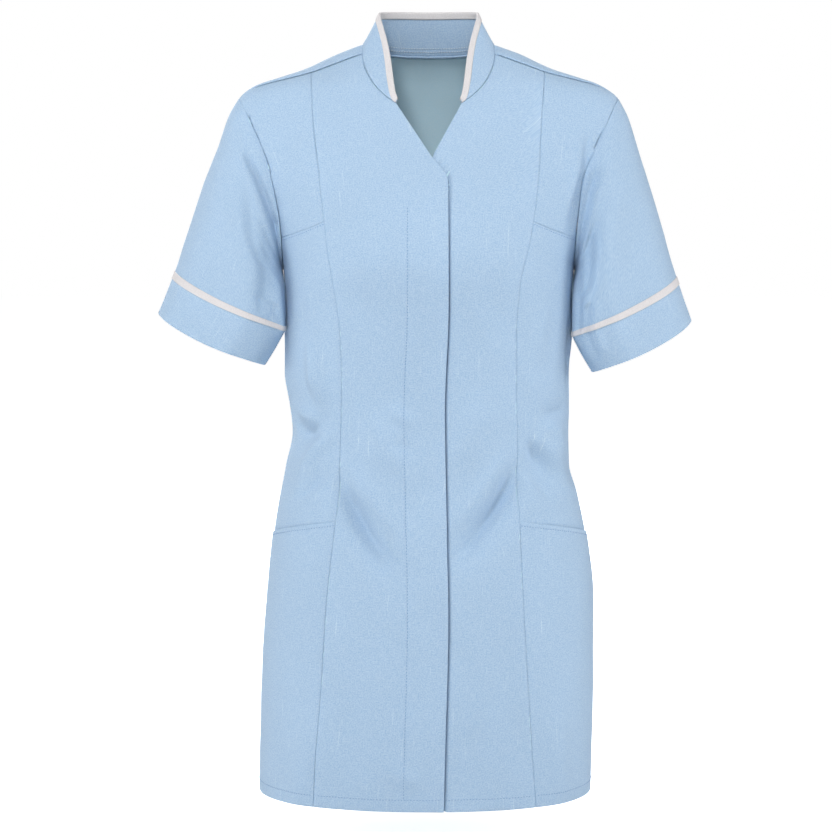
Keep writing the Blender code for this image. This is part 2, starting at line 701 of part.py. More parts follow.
def sleeve_point(side, loop_point, along, out=0.0):
    """The point of the sleeve that lies this far along from a point of the armhole."""
    start, start_axis, start_depth, _ = sleeve_section(side, 0.0)
    from_start = loop_point - start
    lengthwise = float(np.dot(from_start, start_axis) / np.dot(start_axis, start_axis))
    angle = math.atan2(-from_start[1] / start_depth, lengthwise)
    turn = (angle / (2 * math.pi)) % 1.0
    centre, axis, depth, sag = sleeve_section(side, along)
    out += sleeve_fold_rise(turn, along)
    grow = 1 + out / np.linalg.norm(axis)
    point = centre + axis * math.cos(angle) * grow
    point = point + np.array((0.0, -(depth + out) * math.sin(angle), -sag * math.sin(angle)))
    fade = max(1 - along / ARMHOLE_FADE, 0.0) ** 2
    base = start + start_axis * math.cos(angle) + np.array((0.0, -start_depth * math.sin(angle), 0.0))
    bottomness = max(-math.cos(angle), 0.0) ** 2
    shift = np.array((side * (SLEEVE_SHIFT + UNDERARM_SHIFT * bottomness), 0.0, 0.0))
    return point + (loop_point + shift - base) * fade


def sleeve_grid(side, start, end, rows, out=0.0):
    """A stretch of the sleeve, as rows from its start to its end of points around it."""
    loop = armhole_loop(side)
    grid = [[sleeve_point(side, point, along, out) for point in loop] for along in spread(start, end, rows)]
    return np.array(grid)


def drawn_back(grid, first_row, last_row, first_column, last_column):
    """The grid with its four edges moved in by these distances, each one for all or one for each point."""
    grid = grid.copy()

    def pull(edge, beside, distance):
        inward = beside - edge
        length = np.linalg.norm(inward, axis=1)[:, None]
        return edge + inward / np.maximum(length, 1e-9) * np.reshape(distance, (-1, 1))

    grid[0] = pull(grid[0], grid[1], first_row)
    grid[-1] = pull(grid[-1], grid[-2], last_row)
    grid[:, 0] = pull(grid[:, 0], grid[:, 1], first_column)
    grid[:, -1] = pull(grid[:, -1], grid[:, -2], last_column)
    return grid


def moved_out(places, side, distance):
    """Points over a panel's own places, this far outside them."""
    return np.array([[torso(side, *place, distance) for place in row] for row in places])


def make_material(name, colour):
    """A matt cloth of one plain colour."""
    material = bpy.data.materials.new(name)
    material.use_nodes = True
    shader = material.node_tree.nodes["Principled BSDF"]
    shader.inputs["Base Color"].default_value = colour
    shader.inputs["Roughness"].default_value = CLOTH_ROUGHNESS
    shader.inputs["Metallic"].default_value = 0.0
    return material


def sew(collection, name, grid, colour=SKY_BLUE, thickness=CLOTH, tube=False):
    """A cloth piece: a flat grid shaped to these points, closed to a tube where asked, then thickened."""
    rows, columns = grid.shape[0] - 1, grid.shape[1] - 1
    shape = bmesh.new()
    bmesh.ops.create_grid(shape, x_segments=columns, y_segments=rows, size=1.0)
    for vertex in shape.verts:
        column = round((vertex.co.x + 1) / 2 * columns)
        row = round((vertex.co.y + 1) / 2 * rows)
        vertex.co = grid[row, column]
    if tube:
        bmesh.ops.remove_doubles(shape, verts=shape.verts, dist=1e-6)
    mesh = bpy.data.meshes.new(name)
    shape.to_mesh(mesh)
    shape.free()
    mesh.shade_smooth()
    mesh.materials.append(make_material(f"{name}_cloth", colour))
    piece = bpy.data.objects.new(name, mesh)
    collection.objects.link(piece)
    wall = piece.modifiers.new("cloth", "SOLIDIFY")
    wall.thickness = thickness
    wall.offset = 0.0
    wall.use_quality_normals = True
    return piece


SIDES = ((-1, "right"), (1, "left"))


def make_tunic():
    """Clears the scene and sews all the pieces."""
    for obj in list(bpy.data.objects):
        bpy.data.objects.remove(obj)
    tunic = bpy.data.collections.new("mandarin_collar_tunic")
    bpy.context.scene.collection.children.link(tunic)
    below_armhole = SKIRT_ROWS + BODICE_ROWS
    shoulder_gaps = [SHOULDER_HALF_GAP] * (SIDE_COLUMNS + SHOULDER_COLUMNS)
    back_top = shoulder_gaps + [NECK_HALF_GAP] * (2 * NECK_BACK_COLUMNS + 1) + shoulder_gaps
    back_edge = [SEAM_HALF_GAP] * below_armhole + [ARMHOLE_HALF_GAP] * (UPPER_ROWS + 1)
    side_front_edge = [SEAM_HALF_GAP] * below_armhole + [ARMHOLE_HALF_GAP] * (BUST_TO_UNDERARM_ROWS + 1)
    free_edge = [0.0] * (below_armhole + UPPER_ROWS - NECK_FRONT_ROWS + 1)
    closing_edge = free_edge + [NECK_HALF_GAP] * NECK_FRONT_ROWS

    for side, word in SIDES:
        front = drawn_back(front_grid(side), 0.0, SHOULDER_HALF_GAP, closing_edge, SEAM_HALF_GAP)
        sew(tunic, f"centre_front_{word}", front)
        upper_side = upper_side_grid(side)
        upper_side = drawn_back(upper_side, SEAM_HALF_GAP, SHOULDER_HALF_GAP, SEAM_HALF_GAP, ARMHOLE_HALF_GAP)
        sew(tunic, f"upper_side_front_{word}", upper_side)
        places = side_front_places(side)
        side_front = moved_out(places, side, 0.0)
        side_front = drawn_back(side_front, 0.0, SEAM_HALF_GAP, SEAM_HALF_GAP, side_front_edge)
        sew(tunic, f"side_front_{word}", side_front)
        pocket = moved_out(places[: SKIRT_ROWS + 1], side, LAP)
        sew(tunic, f"pocket_{word}", drawn_back(pocket, 0.0, 0.0, SEAM_HALF_GAP, SEAM_HALF_GAP))

    right_half, left_half = [back_half_grid(side) for side, _ in SIDES]
    back = np.concatenate((right_half[:, ::-1], left_half[:, 1:]), axis=1)
    sew(tunic, "back", drawn_back(back, 0.0, back_top, back_edge, back_edge))

    collar, binding = collar_grids()
    sew(tunic, "collar", collar)
    sew(tunic, "collar_binding", binding, OFF_WHITE, BINDING_CLOTH)

    for side, word in SIDES:
        sleeve = sleeve_grid(side, 0.0, 1.0 - CUFF_JOIN_HALF_GAP, SLEEVE_ROWS)
        sew(tunic, f"sleeve_{word}", sleeve, tube=True)
        cuff = sleeve_grid(side, 1.0 + CUFF_JOIN_HALF_GAP, CUFF_HEM, CUFF_ROWS)
        sew(tunic, f"cuff_{word}", cuff, tube=True)
        piping = sleeve_grid(side, 1.0 - PIPING_HALF_SPAN, 1.0 + PIPING_HALF_SPAN, 1, LAP)
        sew(tunic, f"sleeve_piping_{word}", piping, OFF_WHITE, tube=True)


make_tunic()
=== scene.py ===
import math

import bmesh
import bpy
import numpy as np
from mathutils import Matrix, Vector, noise


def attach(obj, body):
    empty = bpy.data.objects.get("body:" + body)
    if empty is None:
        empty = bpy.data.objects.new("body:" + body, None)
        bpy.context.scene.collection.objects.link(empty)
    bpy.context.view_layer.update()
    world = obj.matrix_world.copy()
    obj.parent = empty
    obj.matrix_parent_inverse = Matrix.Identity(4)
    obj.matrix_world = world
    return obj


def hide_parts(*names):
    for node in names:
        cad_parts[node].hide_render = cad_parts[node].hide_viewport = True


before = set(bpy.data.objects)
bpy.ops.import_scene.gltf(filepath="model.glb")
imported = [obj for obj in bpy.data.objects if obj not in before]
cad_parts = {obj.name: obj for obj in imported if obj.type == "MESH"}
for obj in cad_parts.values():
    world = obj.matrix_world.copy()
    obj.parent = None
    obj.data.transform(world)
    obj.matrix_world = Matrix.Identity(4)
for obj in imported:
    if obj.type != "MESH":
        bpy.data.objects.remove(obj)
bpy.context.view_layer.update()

# The room: a wide pale floor below the hem, even light from a white sky, and five soft lamps.
# The camera stands 2.6 m in front of the chest and looks slightly down at the waist.
HEM = -0.740
FLOOR_BELOW_HEM = 0.045
FLOOR_HALF = 30.0
CAMERA_PLACE = Vector((-0.013, -2.600, -0.179))
CAMERA_DROP = 0.172
CAMERA_LENS = 108.17
SKY_STRENGTH = 0.18
SKY_COLOUR = (0.97, 0.98, 1.0, 1.0)
WHITE = (1.0, 1.0, 1.0, 1.0)
FLOOR_COLOUR = (0.93, 0.93, 0.93, 1.0)
FLOOR_ROUGHNESS = 0.9
FLOOR_GLOW = 0.84
LAMPS_AIM = Vector((0.0, 0.0, -0.35))

# Columns: name, place, size, power.
LAMPS = (
    ("front_lamp", (-0.1, -3.1, 0.6), 1.0, 20.5),
    ("key_lamp", (-0.5, -1.5, 1.5), 0.4, 26.0),
    ("right_lamp", (-2.4, -0.7, 0.3), 1.2, 18.0),
    ("left_lamp", (2.4, -0.7, 0.3), 1.2, 28.0),
    ("back_lamp", (-0.6, 2.8, 1.2), 2.0, 85.0),
)

scene = bpy.context.scene
scene.view_settings.view_transform = "Standard"

camera_data = bpy.data.cameras.new("camera")
camera_data.lens = CAMERA_LENS
camera = bpy.data.objects.new("camera", camera_data)
camera.location = CAMERA_PLACE
aim = Vector((CAMERA_PLACE.x, 0.0, CAMERA_PLACE.z - CAMERA_DROP))
camera.rotation_euler = (aim - CAMERA_PLACE).to_track_quat("-Z", "Y").to_euler()
scene.collection.objects.link(camera)
scene.camera = camera

sky = bpy.data.worlds.new("white_sky")
sky.use_nodes = True
sky_nodes, sky_link = sky.node_tree.nodes, sky.node_tree.links.new
even = sky_nodes["Background"]
even.inputs["Color"].default_value = SKY_COLOUR
even.inputs["Strength"].default_value = SKY_STRENGTH
bright = sky_nodes.new("ShaderNodeBackground")
bright.inputs["Color"].default_value = WHITE
seen = sky_nodes.new("ShaderNodeLightPath")
choose = sky_nodes.new("ShaderNodeMixShader")
sky_link(seen.outputs["Is Camera Ray"], choose.inputs["Fac"])
sky_link(even.outputs[0], choose.inputs[1])
sky_link(bright.outputs[0], choose.inputs[2])
sky_link(choose.outputs[0], sky_nodes["World Output"].inputs["Surface"])
scene.world = sky

for name, place, size, power in LAMPS:
    lamp_data = bpy.data.lights.new(name, "AREA")
    lamp_data.size = size
    lamp_data.energy = power
    lamp = bpy.data.objects.new(name, lamp_data)
    lamp.location = place
    lamp.rotation_euler = (LAMPS_AIM - Vector(place)).to_track_quat("-Z", "Y").to_euler()
    scene.collection.objects.link(lamp)

floor_shape = bmesh.new()
bmesh.ops.create_grid(floor_shape, x_segments=1, y_segments=1, size=FLOOR_HALF)
floor_mesh = bpy.data.meshes.new("floor")
floor_shape.to_mesh(floor_mesh)
floor_shape.free()
floor = bpy.data.objects.new("floor", floor_mesh)
floor.location.z = HEM - FLOOR_BELOW_HEM
floor_paint = bpy.data.materials.new("pale_floor")
floor_paint.use_nodes = True
floor_nodes, floor_link = floor_paint.node_tree.nodes, floor_paint.node_tree.links.new
floor_shader = floor_nodes["Principled BSDF"]
floor_shader.inputs["Base Color"].default_value = FLOOR_COLOUR
floor_shader.inputs["Roughness"].default_value = FLOOR_ROUGHNESS
floor_shader.inputs["Emission Color"].default_value = WHITE
floor_seen = floor_nodes.new("ShaderNodeLightPath")
floor_glow = floor_nodes.new("ShaderNodeMath")
floor_glow.operation = "MULTIPLY"
floor_glow.inputs[1].default_value = FLOOR_GLOW
floor_link(floor_seen.outputs["Is Camera Ray"], floor_glow.inputs[0])
floor_link(floor_glow.outputs[0], floor_shader.inputs["Emission Strength"])
floor_mesh.materials.append(floor_paint)
scene.collection.objects.link(floor)


# The cloth: a light polyester and cotton plain weave, warp and weft of slightly different blues, with pale
# slubs along the warp; its inside is painted paler, as painted light. The bands are the same weave in
# off-white.
THREAD_PITCH = 0.00042
SKY_BLUE = (0.345, 0.515, 0.725, 1.0)
PALE_THREAD = (0.66, 0.78, 0.88, 1.0)
# The inside colours are painted lighter than the cloth is: painted light, since little lamp light reaches
# inside.
INSIDE_BLUE_PAINTED_LIGHTER = (0.62, 0.86, 0.97, 1.0)
INSIDE_THREAD_PAINTED_LIGHTER = (0.72, 0.90, 0.98, 1.0)
OFF_WHITE = (0.71, 0.685, 0.69, 1.0)
WHITE_THREAD = (0.84, 0.82, 0.825, 1.0)
# Blue stitch thread, painted much darker than the cloth: partly the thread's own blue, partly painted shade
# of the stitch dents.
STITCH_BLUE_WITH_PAINTED_SHADE = (0.15, 0.29, 0.54, 1.0)
SHEEN_ROUGHNESS = 0.45
CLOTH_GLOSS = 0.25
BUMP_STRENGTH = 0.5
BUMP_DEPTH = 0.0003
SEWN_UV = "threads"

# Streaks in the weave. Columns: scale across, scale along, detail.
WARP_HEATHER = (1400.0, 110.0, 2.0)
WEFT_HEATHER = (120.0, 1500.0, 2.0)
SPECKLE = (760.0, 680.0, 3.0)
HEATHER_MIX = (0.22, 0.18, 0.6)
LONG_SLUBS = (420.0, 16.0, 3.0)
CLOUDS = (9.0, 7.0, 2.0)
HEATHER_RANGE = (0.42, 0.58)
HEATHER_PALENESS = 0.46
SLUB_RANGE = (0.66, 0.78)
CLOUD_SHADES = (0.955, 1.045)
ROUGHNESS = 0.70
HEATHER_ROUGHNESS = 0.22

# How much of the relief is weave, heather and slubs.
RELIEF_MIX = (0.5, 1.2, 0.5)


def woven_group():
    """Colour, roughness and height of a plain weave, from a place in metres across and along the cloth."""
    group = bpy.data.node_groups.new("plain weave", "ShaderNodeTree")
    for name, way, kind in (
        ("Place", "INPUT", "Vector"),
        ("Cloth", "INPUT", "Color"),
        ("Pale Thread", "INPUT", "Color"),
        ("Slubs", "INPUT", "Float"),
        ("Colour", "OUTPUT", "Color"),
        ("Roughness", "OUTPUT", "Float"),
        ("Height", "OUTPUT", "Float"),
    ):
        group.interface.new_socket(name, in_out=way, socket_type=f"NodeSocket{kind}")
    nodes, link = group.nodes, group.links.new
    entry = nodes.new("NodeGroupInput")
    result = nodes.new("NodeGroupOutput")

    def math_node(operation, *values):
        node = nodes.new("ShaderNodeMath")
        node.operation = operation
        for socket, value in zip(node.inputs, values):
            if isinstance(value, (int, float)):
                socket.default_value = value
            else:
                link(value, socket)
        return node.outputs[0]

    def total(values, shares):
        """The sum of the values, each times its share."""
        scaled = [math_node("MULTIPLY", value, share) for value, share in zip(values, shares)]
        whole = scaled[0]
        for more in scaled[1:]:
            whole = math_node("ADD", whole, more)
        return whole

    def streaks(across_scale, along_scale, detail):
        mapping = nodes.new("ShaderNodeVectorMath")
        mapping.operation = "MULTIPLY"
        mapping.inputs[1].default_value = (across_scale, along_scale, 1.0)
        link(entry.outputs["Place"], mapping.inputs[0])
        texture = nodes.new("ShaderNodeTexNoise")
        texture.inputs["Scale"].default_value = 1.0
        texture.inputs["Detail"].default_value = detail
        link(mapping.outputs[0], texture.inputs["Vector"])
        return texture.outputs["Fac"]

    def ranged(value, which, ends):
        node = nodes.new("ShaderNodeMapRange")
        node.inputs[f"{which} Min"].default_value = ends[0]
        node.inputs[f"{which} Max"].default_value = ends[1]
        link(value, node.inputs["Value"])
        return node.outputs[0]

    parts = nodes.new("ShaderNodeSeparateXYZ")
    link(entry.outputs["Place"], parts.inputs[0])
    turns = 2 * math.pi / THREAD_PITCH
    warp = math_node("SINE", math_node("MULTIPLY", parts.outputs["X"], turns))
    weft = math_node("SINE", math_node("MULTIPLY", parts.outputs["Y"], turns))
    weave = math_node("MULTIPLY", warp, weft)

    heather = total([streaks(*row) for row in (WARP_HEATHER, WEFT_HEATHER, SPECKLE)], HEATHER_MIX)
    slubs = ranged(streaks(*LONG_SLUBS), "From", SLUB_RANGE)
    spread = ranged(heather, "From", HEATHER_RANGE)
    pale_mix = nodes.new("ShaderNodeMix")
    pale_mix.data_type = "RGBA"
    pale = total((spread, slubs), (HEATHER_PALENESS, entry.outputs["Slubs"]))
    link(pale, pale_mix.inputs["Factor"])
    link(entry.outputs["Cloth"], pale_mix.inputs[6])
    link(entry.outputs["Pale Thread"], pale_mix.inputs[7])
    shade = nodes.new("ShaderNodeVectorMath")
    shade.operation = "SCALE"
    link(pale_mix.outputs[2], shade.inputs[0])
    link(ranged(streaks(*CLOUDS), "To", CLOUD_SHADES), shade.inputs["Scale"])
    link(shade.outputs[0], result.inputs["Colour"])
    rough = math_node("ADD", math_node("MULTIPLY", heather, HEATHER_ROUGHNESS), ROUGHNESS)
    link(rough, result.inputs["Roughness"])
    link(total((weave, heather, slubs), RELIEF_MIX), result.inputs["Height"])
    return group


PLAIN_WEAVE = woven_group()


def cloth_material(name, colour, pale_thread, slubs, sheen):
    """A matt woven cloth with a soft sheen."""
    material = bpy.data.materials.new(name)
    material.use_nodes = True
    nodes, link = material.node_tree.nodes, material.node_tree.links.new
    shader = nodes["Principled BSDF"]
    shader.inputs["Sheen Weight"].default_value = sheen
    shader.inputs["Sheen Roughness"].default_value = SHEEN_ROUGHNESS
    shader.inputs["Specular IOR Level"].default_value = CLOTH_GLOSS
    place = nodes.new("ShaderNodeUVMap")
    place.uv_map = SEWN_UV
    weave = nodes.new("ShaderNodeGroup")
    weave.node_tree = PLAIN_WEAVE
    weave.inputs["Cloth"].default_value = colour
    weave.inputs["Pale Thread"].default_value = pale_thread
    weave.inputs["Slubs"].default_value = slubs
    link(place.outputs["UV"], weave.inputs["Place"])
    link(weave.outputs["Colour"], shader.inputs["Base Color"])
    link(weave.outputs["Roughness"], shader.inputs["Roughness"])
    bump = nodes.new("ShaderNodeBump")
    bump.inputs["Strength"].default_value = BUMP_STRENGTH
    bump.inputs["Distance"].default_value = BUMP_DEPTH
    link(weave.outputs["Height"], bump.inputs["Height"])
    link(bump.outputs["Normal"], shader.inputs["Normal"])
    return material


blue_cloth = cloth_material("blue_cloth", SKY_BLUE, PALE_THREAD, slubs=0.55, sheen=0.12)
# The inner faces of the body and sleeve pieces get this lighter paint, painted light inside the garment.
blue_inside_painted_light = cloth_material("blue_cloth_inside_painted_light", INSIDE_BLUE_PAINTED_LIGHTER, INSIDE_THREAD_PAINTED_LIGHTER, slubs=0.3, sheen=0.05)
band_cloth = cloth_material("off_white_band", OFF_WHITE, WHITE_THREAD, slubs=0.2, sheen=0.1)
# The stitch rows' darkness is partly painted shade along the stitches.
thread_paint = cloth_material("blue_thread", STITCH_BLUE_WITH_PAINTED_SHADE, SKY_BLUE, slubs=0.0, sheen=0.2)
pale_thread_paint = cloth_material("pale_blue_thread", PALE_THREAD, WHITE_THREAD, slubs=0.0, sheen=0.2)


# The back: one wide piece, over the shoulders to the forward shoulder seams, and down to a turned-up
# hem. It is shaped on a torso of level sections, rounded by the power in the last column, and its
# edges at the seams are turned in as seam allowances are.
CLOTH = 0.0007
UNDERARM = -0.194
SHOULDER_TIP = -0.022
FRONT_SEAM_TOP = 0.003
TIP_HALF_WIDTH = 0.1955
NECK_POINT_HALF_WIDTH = 0.0655
NECK_POINT = 0.0335
NECK_SEAM_CORNER = (0.0680, 0.0225)
SEAM_HALF_GAP = 0.0003
SHOULDER_GAP = 0.0009
SHOULDER_LAP = 0.0014
SHOULDER_LAP_ROWS = 5
SHOULDER_LAP_COLUMNS = 4
SHOULDER_TIP_COLUMNS = 8
ALLOWANCE = 0.007
NECK_ALLOWANCE = 0.0025
ALLOWANCE_RADIUS = 0.00065
HEM_RADIUS = 0.00045
HEM_TURN_UP = 0.0155
HEM_STITCH = 0.0118
SIDES = ((-1, "right"), (1, "left"))

# Columns: height, right half width, left half width, front depth, back depth, square.
TORSO = (
    (0.0400, 0.0480, 0.0480, 0.0060, 0.0150, 2.20),
    (0.0335, NECK_POINT_HALF_WIDTH, NECK_POINT_HALF_WIDTH, 0.0120, 0.0330, 2.20),
    (0.0240, 0.0910, 0.0910, 0.0205, 0.0510, 2.20),
    (0.0080, 0.1270, 0.1270, 0.0360, 0.0630, 2.20),
    (-0.0020, 0.1540, 0.1540, 0.0435, 0.0690, 2.20),
    (-0.0110, 0.1810, 0.1790, 0.0495, 0.0730, 2.15),
    (SHOULDER_TIP, TIP_HALF_WIDTH, TIP_HALF_WIDTH, 0.0560, 0.0775, 2.10),
    (-0.0360, 0.2035, 0.2035, 0.0640, 0.0825, 2.05),
    (-0.0520, 0.2048, 0.2048, 0.0735, 0.0875, 2.00),
    (-0.0720, 0.2000, 0.2000, 0.0840, 0.0925, 2.00),
    (-0.0980, 0.1900, 0.1900, 0.0970, 0.0980, 2.00),
    (-0.1230, 0.1765, 0.1765, 0.1100, 0.1030, 2.00),
    (-0.1470, 0.1655, 0.1655, 0.1200, 0.1060, 2.05),
    (-0.1670, 0.1575, 0.1575, 0.1260, 0.1075, 2.15),
    (UNDERARM, 0.1503, 0.1503, 0.1290, 0.1070, 2.25),
    (-0.2370, 0.1480, 0.1490, 0.1210, 0.1040, 2.30),
    (-0.2680, 0.1490, 0.1485, 0.1150, 0.1015, 2.30),
    (-0.3050, 0.1490, 0.1455, 0.1090, 0.0990, 2.30),
    (-0.3400, 0.1435, 0.1455, 0.1055, 0.0975, 2.30),
    (-0.3680, 0.1410, 0.1450, 0.1040, 0.0970, 2.30),
    (-0.4000, 0.1475, 0.1460, 0.1050, 0.1000, 2.30),
    (-0.4300, 0.1535, 0.1545, 0.1070, 0.1040, 2.30),
    (-0.4900, 0.1630, 0.1660, 0.1150, 0.1190, 2.30),
    (-0.5450, 0.1680, 0.1710, 0.1210, 0.1300, 2.30),
    (-0.6400, 0.1735, 0.1705, 0.1270, 0.1370, 2.30),
    (HEM, 0.1760, 0.1680, 0.1290, 0.1380, 2.30),
)

# Folds of the cloth. Columns: side, 1 if behind, from x, from z, to x, to z, flank, rise, with
# troughs below zero. The first group is the large folds, the second the creases on them.
FOLDS = (
    (-1, 0, 0.1190, -0.270, 0.1060, -0.334, 0.011, 0.0032),
    (-1, 0, 0.1310, -0.402, 0.0980, -0.362, 0.010, 0.0026),
    (-1, 0, 0.0880, -0.416, 0.0300, -0.502, 0.014, -0.0042),
    (-1, 0, 0.0600, -0.345, 0.0250, -0.400, 0.018, 0.0025),
    (1, 0, 0.0870, -0.402, 0.0280, -0.486, 0.014, -0.0045),
    (1, 0, 0.0980, -0.372, 0.1340, -0.426, 0.012, -0.0026),
    (1, 0, 0.1150, -0.352, 0.1370, -0.385, 0.013, 0.0035),
    (1, 0, 0.0560, -0.330, 0.0300, -0.395, 0.018, 0.0025),
    (-1, 1, 0.1250, -0.350, 0.0500, -0.385, 0.018, -0.0050),
    (-1, 1, 0.1300, -0.425, 0.0450, -0.400, 0.016, 0.0040),
    (-1, 1, 0.1150, -0.470, 0.0350, -0.420, 0.018, -0.0045),
    (-1, 1, 0.1350, -0.180, 0.0900, -0.260, 0.018, 0.0040),
    (1, 1, 0.1300, -0.345, 0.0400, -0.370, 0.018, -0.0045),
    (1, 1, 0.1250, -0.405, 0.0550, -0.392, 0.016, 0.0040),
    (1, 1, 0.1250, -0.455, 0.0300, -0.430, 0.018, -0.0050),
    (1, 1, 0.1350, -0.175, 0.0850, -0.250, 0.018, 0.0040),
)
CREASES = (
    (-1, 0, 0.0980, -0.347, 0.1330, -0.376, 0.0080, -0.0010),
    (-1, 0, 0.1030, -0.402, 0.1310, -0.430, 0.0070, -0.0020),
    (-1, 0, 0.0900, -0.412, 0.0380, -0.494, 0.0060, -0.0020),
    (-1, 0, 0.0800, -0.398, 0.0280, -0.468, 0.0090, 0.0012),
    (-1, 0, 0.0620, -0.448, 0.0300, -0.492, 0.0080, 0.0012),
    (-1, 0, 0.1340, -0.340, 0.1080, -0.352, 0.0060, 0.0016),
    (-1, 0, 0.1330, -0.358, 0.1120, -0.366, 0.0055, -0.0015),
    (-1, 0, 0.1230, -0.215, 0.1120, -0.262, 0.0080, 0.0012),
    (-1, 0, 0.0420, -0.338, 0.0140, -0.352, 0.0070, 0.0010),
    (-1, 0, 0.0400, -0.372, 0.0120, -0.380, 0.0070, -0.0010),
    (-1, 0, 0.0830, -0.200, 0.0560, -0.262, 0.0160, -0.0012),
    (-1, 0, 0.1330, -0.060, 0.1180, -0.128, 0.0100, 0.0012),
    (-1, 0, 0.0420, -0.700, 0.0100, -0.712, 0.0080, 0.0010),
    (-1, 0, 0.1200, -0.660, 0.1340, -0.740, 0.0140, 0.0016),
    (-1, 0, 0.0760, -0.600, 0.0840, -0.740, 0.0180, -0.0014),
    (1, 0, 0.0880, -0.400, 0.0260, -0.488, 0.0060, -0.0026),
    (1, 0, 0.0740, -0.392, 0.0230, -0.455, 0.0090, 0.0014),
    (1, 0, 0.0760, -0.433, 0.0410, -0.473, 0.0090, 0.0014),
    (1, 0, 0.1000, -0.394, 0.1260, -0.433, 0.0070, -0.0020),
    (1, 0, 0.1060, -0.368, 0.1400, -0.408, 0.0080, 0.0020),
    (1, 0, 0.1390, -0.335, 0.1150, -0.345, 0.0060, -0.0015),
    (1, 0, 0.1400, -0.354, 0.1180, -0.360, 0.0055, 0.0015),
    (1, 0, 0.1620, -0.060, 0.1430, -0.160, 0.0060, -0.0026),
    (1, 0, 0.1540, -0.066, 0.1350, -0.150, 0.0060, 0.0016),
    (1, 0, 0.0560, -0.200, 0.0800, -0.272, 0.0160, -0.0012),
    (1, 0, 0.1180, -0.230, 0.1060, -0.290, 0.0090, 0.0013),
    (1, 0, 0.1425, -0.250, 0.1430, -0.335, 0.0035, -0.0026),
    (1, 0, 0.0970, -0.300, 0.1120, -0.352, 0.0080, 0.0014),
    (1, 0, 0.1010, -0.368, 0.1180, -0.402, 0.0060, -0.0018),
    (1, 0, 0.0520, -0.640, 0.0420, -0.740, 0.0200, -0.0014),
    (1, 0, 0.1250, -0.640, 0.1330, -0.740, 0.0160, 0.0016),
    (-1, 1, 0.1320, -0.372, 0.0700, -0.392, 0.0080, 0.0022),
    (-1, 1, 0.1200, -0.338, 0.0300, -0.352, 0.0090, 0.0018),
    (-1, 1, 0.1330, -0.405, 0.0850, -0.410, 0.0070, -0.0020),
    (-1, 1, 0.0600, -0.402, 0.0100, -0.408, 0.0080, -0.0016),
    (-1, 1, 0.1500, -0.110, 0.1180, -0.170, 0.0090, -0.0024),
    (-1, 1, 0.1400, -0.200, 0.1080, -0.248, 0.0080, -0.0018),
    (-1, 1, 0.0700, -0.560, 0.0820, -0.740, 0.0200, 0.0022),
    (-1, 1, 0.1120, -0.600, 0.1220, -0.740, 0.0180, -0.0018),
    (1, 1, 0.1320, -0.362, 0.0600, -0.380, 0.0080, 0.0020),
    (1, 1, 0.1250, -0.388, 0.0750, -0.402, 0.0070, -0.0020),
    (1, 1, 0.0700, -0.352, 0.0050, -0.360, 0.0090, 0.0018),
    (1, 1, 0.0650, -0.442, 0.0150, -0.446, 0.0080, 0.0016),
    (1, 1, 0.1480, -0.105, 0.1200, -0.165, 0.0090, -0.0022),
    (1, 1, 0.1380, -0.205, 0.1100, -0.255, 0.0080, 0.0016),
    (1, 1, 0.0500, -0.580, 0.0560, -0.740, 0.0200, -0.0020),
    (1, 1, 0.1020, -0.590, 0.1100, -0.740, 0.0180, 0.0020),
    (1, 1, 0.0000, -0.500, 0.0000, -0.700, 0.0240, -0.0016),
)
QUARTER_GIRTH = 0.22
WAVE_SIZES = ((22.0, 0.00055), (60.0, 0.00022))

# The armhole seam. Columns: height, front, back. The long front seam. Columns: height, right, left.
# The shoulder seam. Columns: from centre, height. All are distances from the centre.
ARMHOLE = (
    (SHOULDER_TIP, TIP_HALF_WIDTH, TIP_HALF_WIDTH),
    (-0.0360, 0.1875, 0.1910),
    (-0.0520, 0.1800, 0.1855),
    (-0.0720, 0.1705, 0.1780),
    (-0.0990, 0.1610, 0.1690),
    (-0.1240, 0.1550, 0.1620),
    (-0.1470, 0.1515, 0.1570),
    (-0.1670, 0.1500, 0.1535),
    (-0.1840, 0.1498, 0.1515),
    (UNDERARM, 0.1503, 0.1503),
)
FRONT_SEAM = (
    (FRONT_SEAM_TOP, 0.1205, 0.1185),
    (-0.0510, 0.1170, 0.1140),
    (-0.0980, 0.1110, 0.1110),
    (-0.1530, 0.1045, 0.1040),
    (-0.1820, 0.1010, 0.0980),
    (-0.2120, 0.0960, 0.0910),
    (-0.2670, 0.0890, 0.0880),
    (-0.3080, 0.0880, 0.0880),
    (-0.3700, 0.0890, 0.0895),
    (-0.4340, 0.0930, 0.0910),
    (-0.5310, 0.1030, 0.0950),
    (-0.6520, 0.1110, 0.1020),
    (HEM, 0.1170, 0.1080),
)
SHOULDER_SEAM = (
    NECK_SEAM_CORNER,
    (0.0950, 0.0125),
    (0.1205, 0.0030),
    (0.1500, -0.0045),
    (0.1800, -0.0125),
    (TIP_HALF_WIDTH, SHOULDER_TIP),
)

# The back half of the neck seam from above. Columns: part of the way, from centre, behind the sides.
NECK_BACK = (
    (0.00, NECK_SEAM_CORNER[0], -0.0160),
    (0.15, 0.0670, -0.0030),
    (0.30, 0.0640, 0.0130),
    (0.45, 0.0580, 0.0270),
    (0.60, 0.0470, 0.0395),
    (0.75, 0.0320, 0.0465),
    (0.88, 0.0160, 0.0493),
    (1.00, 0.0000, 0.0500),
)
BUST_SEAM_INNER = -0.150
BUST_SEAM_OUTER = -0.166
POCKET_MOUTH_INNER = -0.4515
POCKET_MOUTH_OUTER = -0.4720

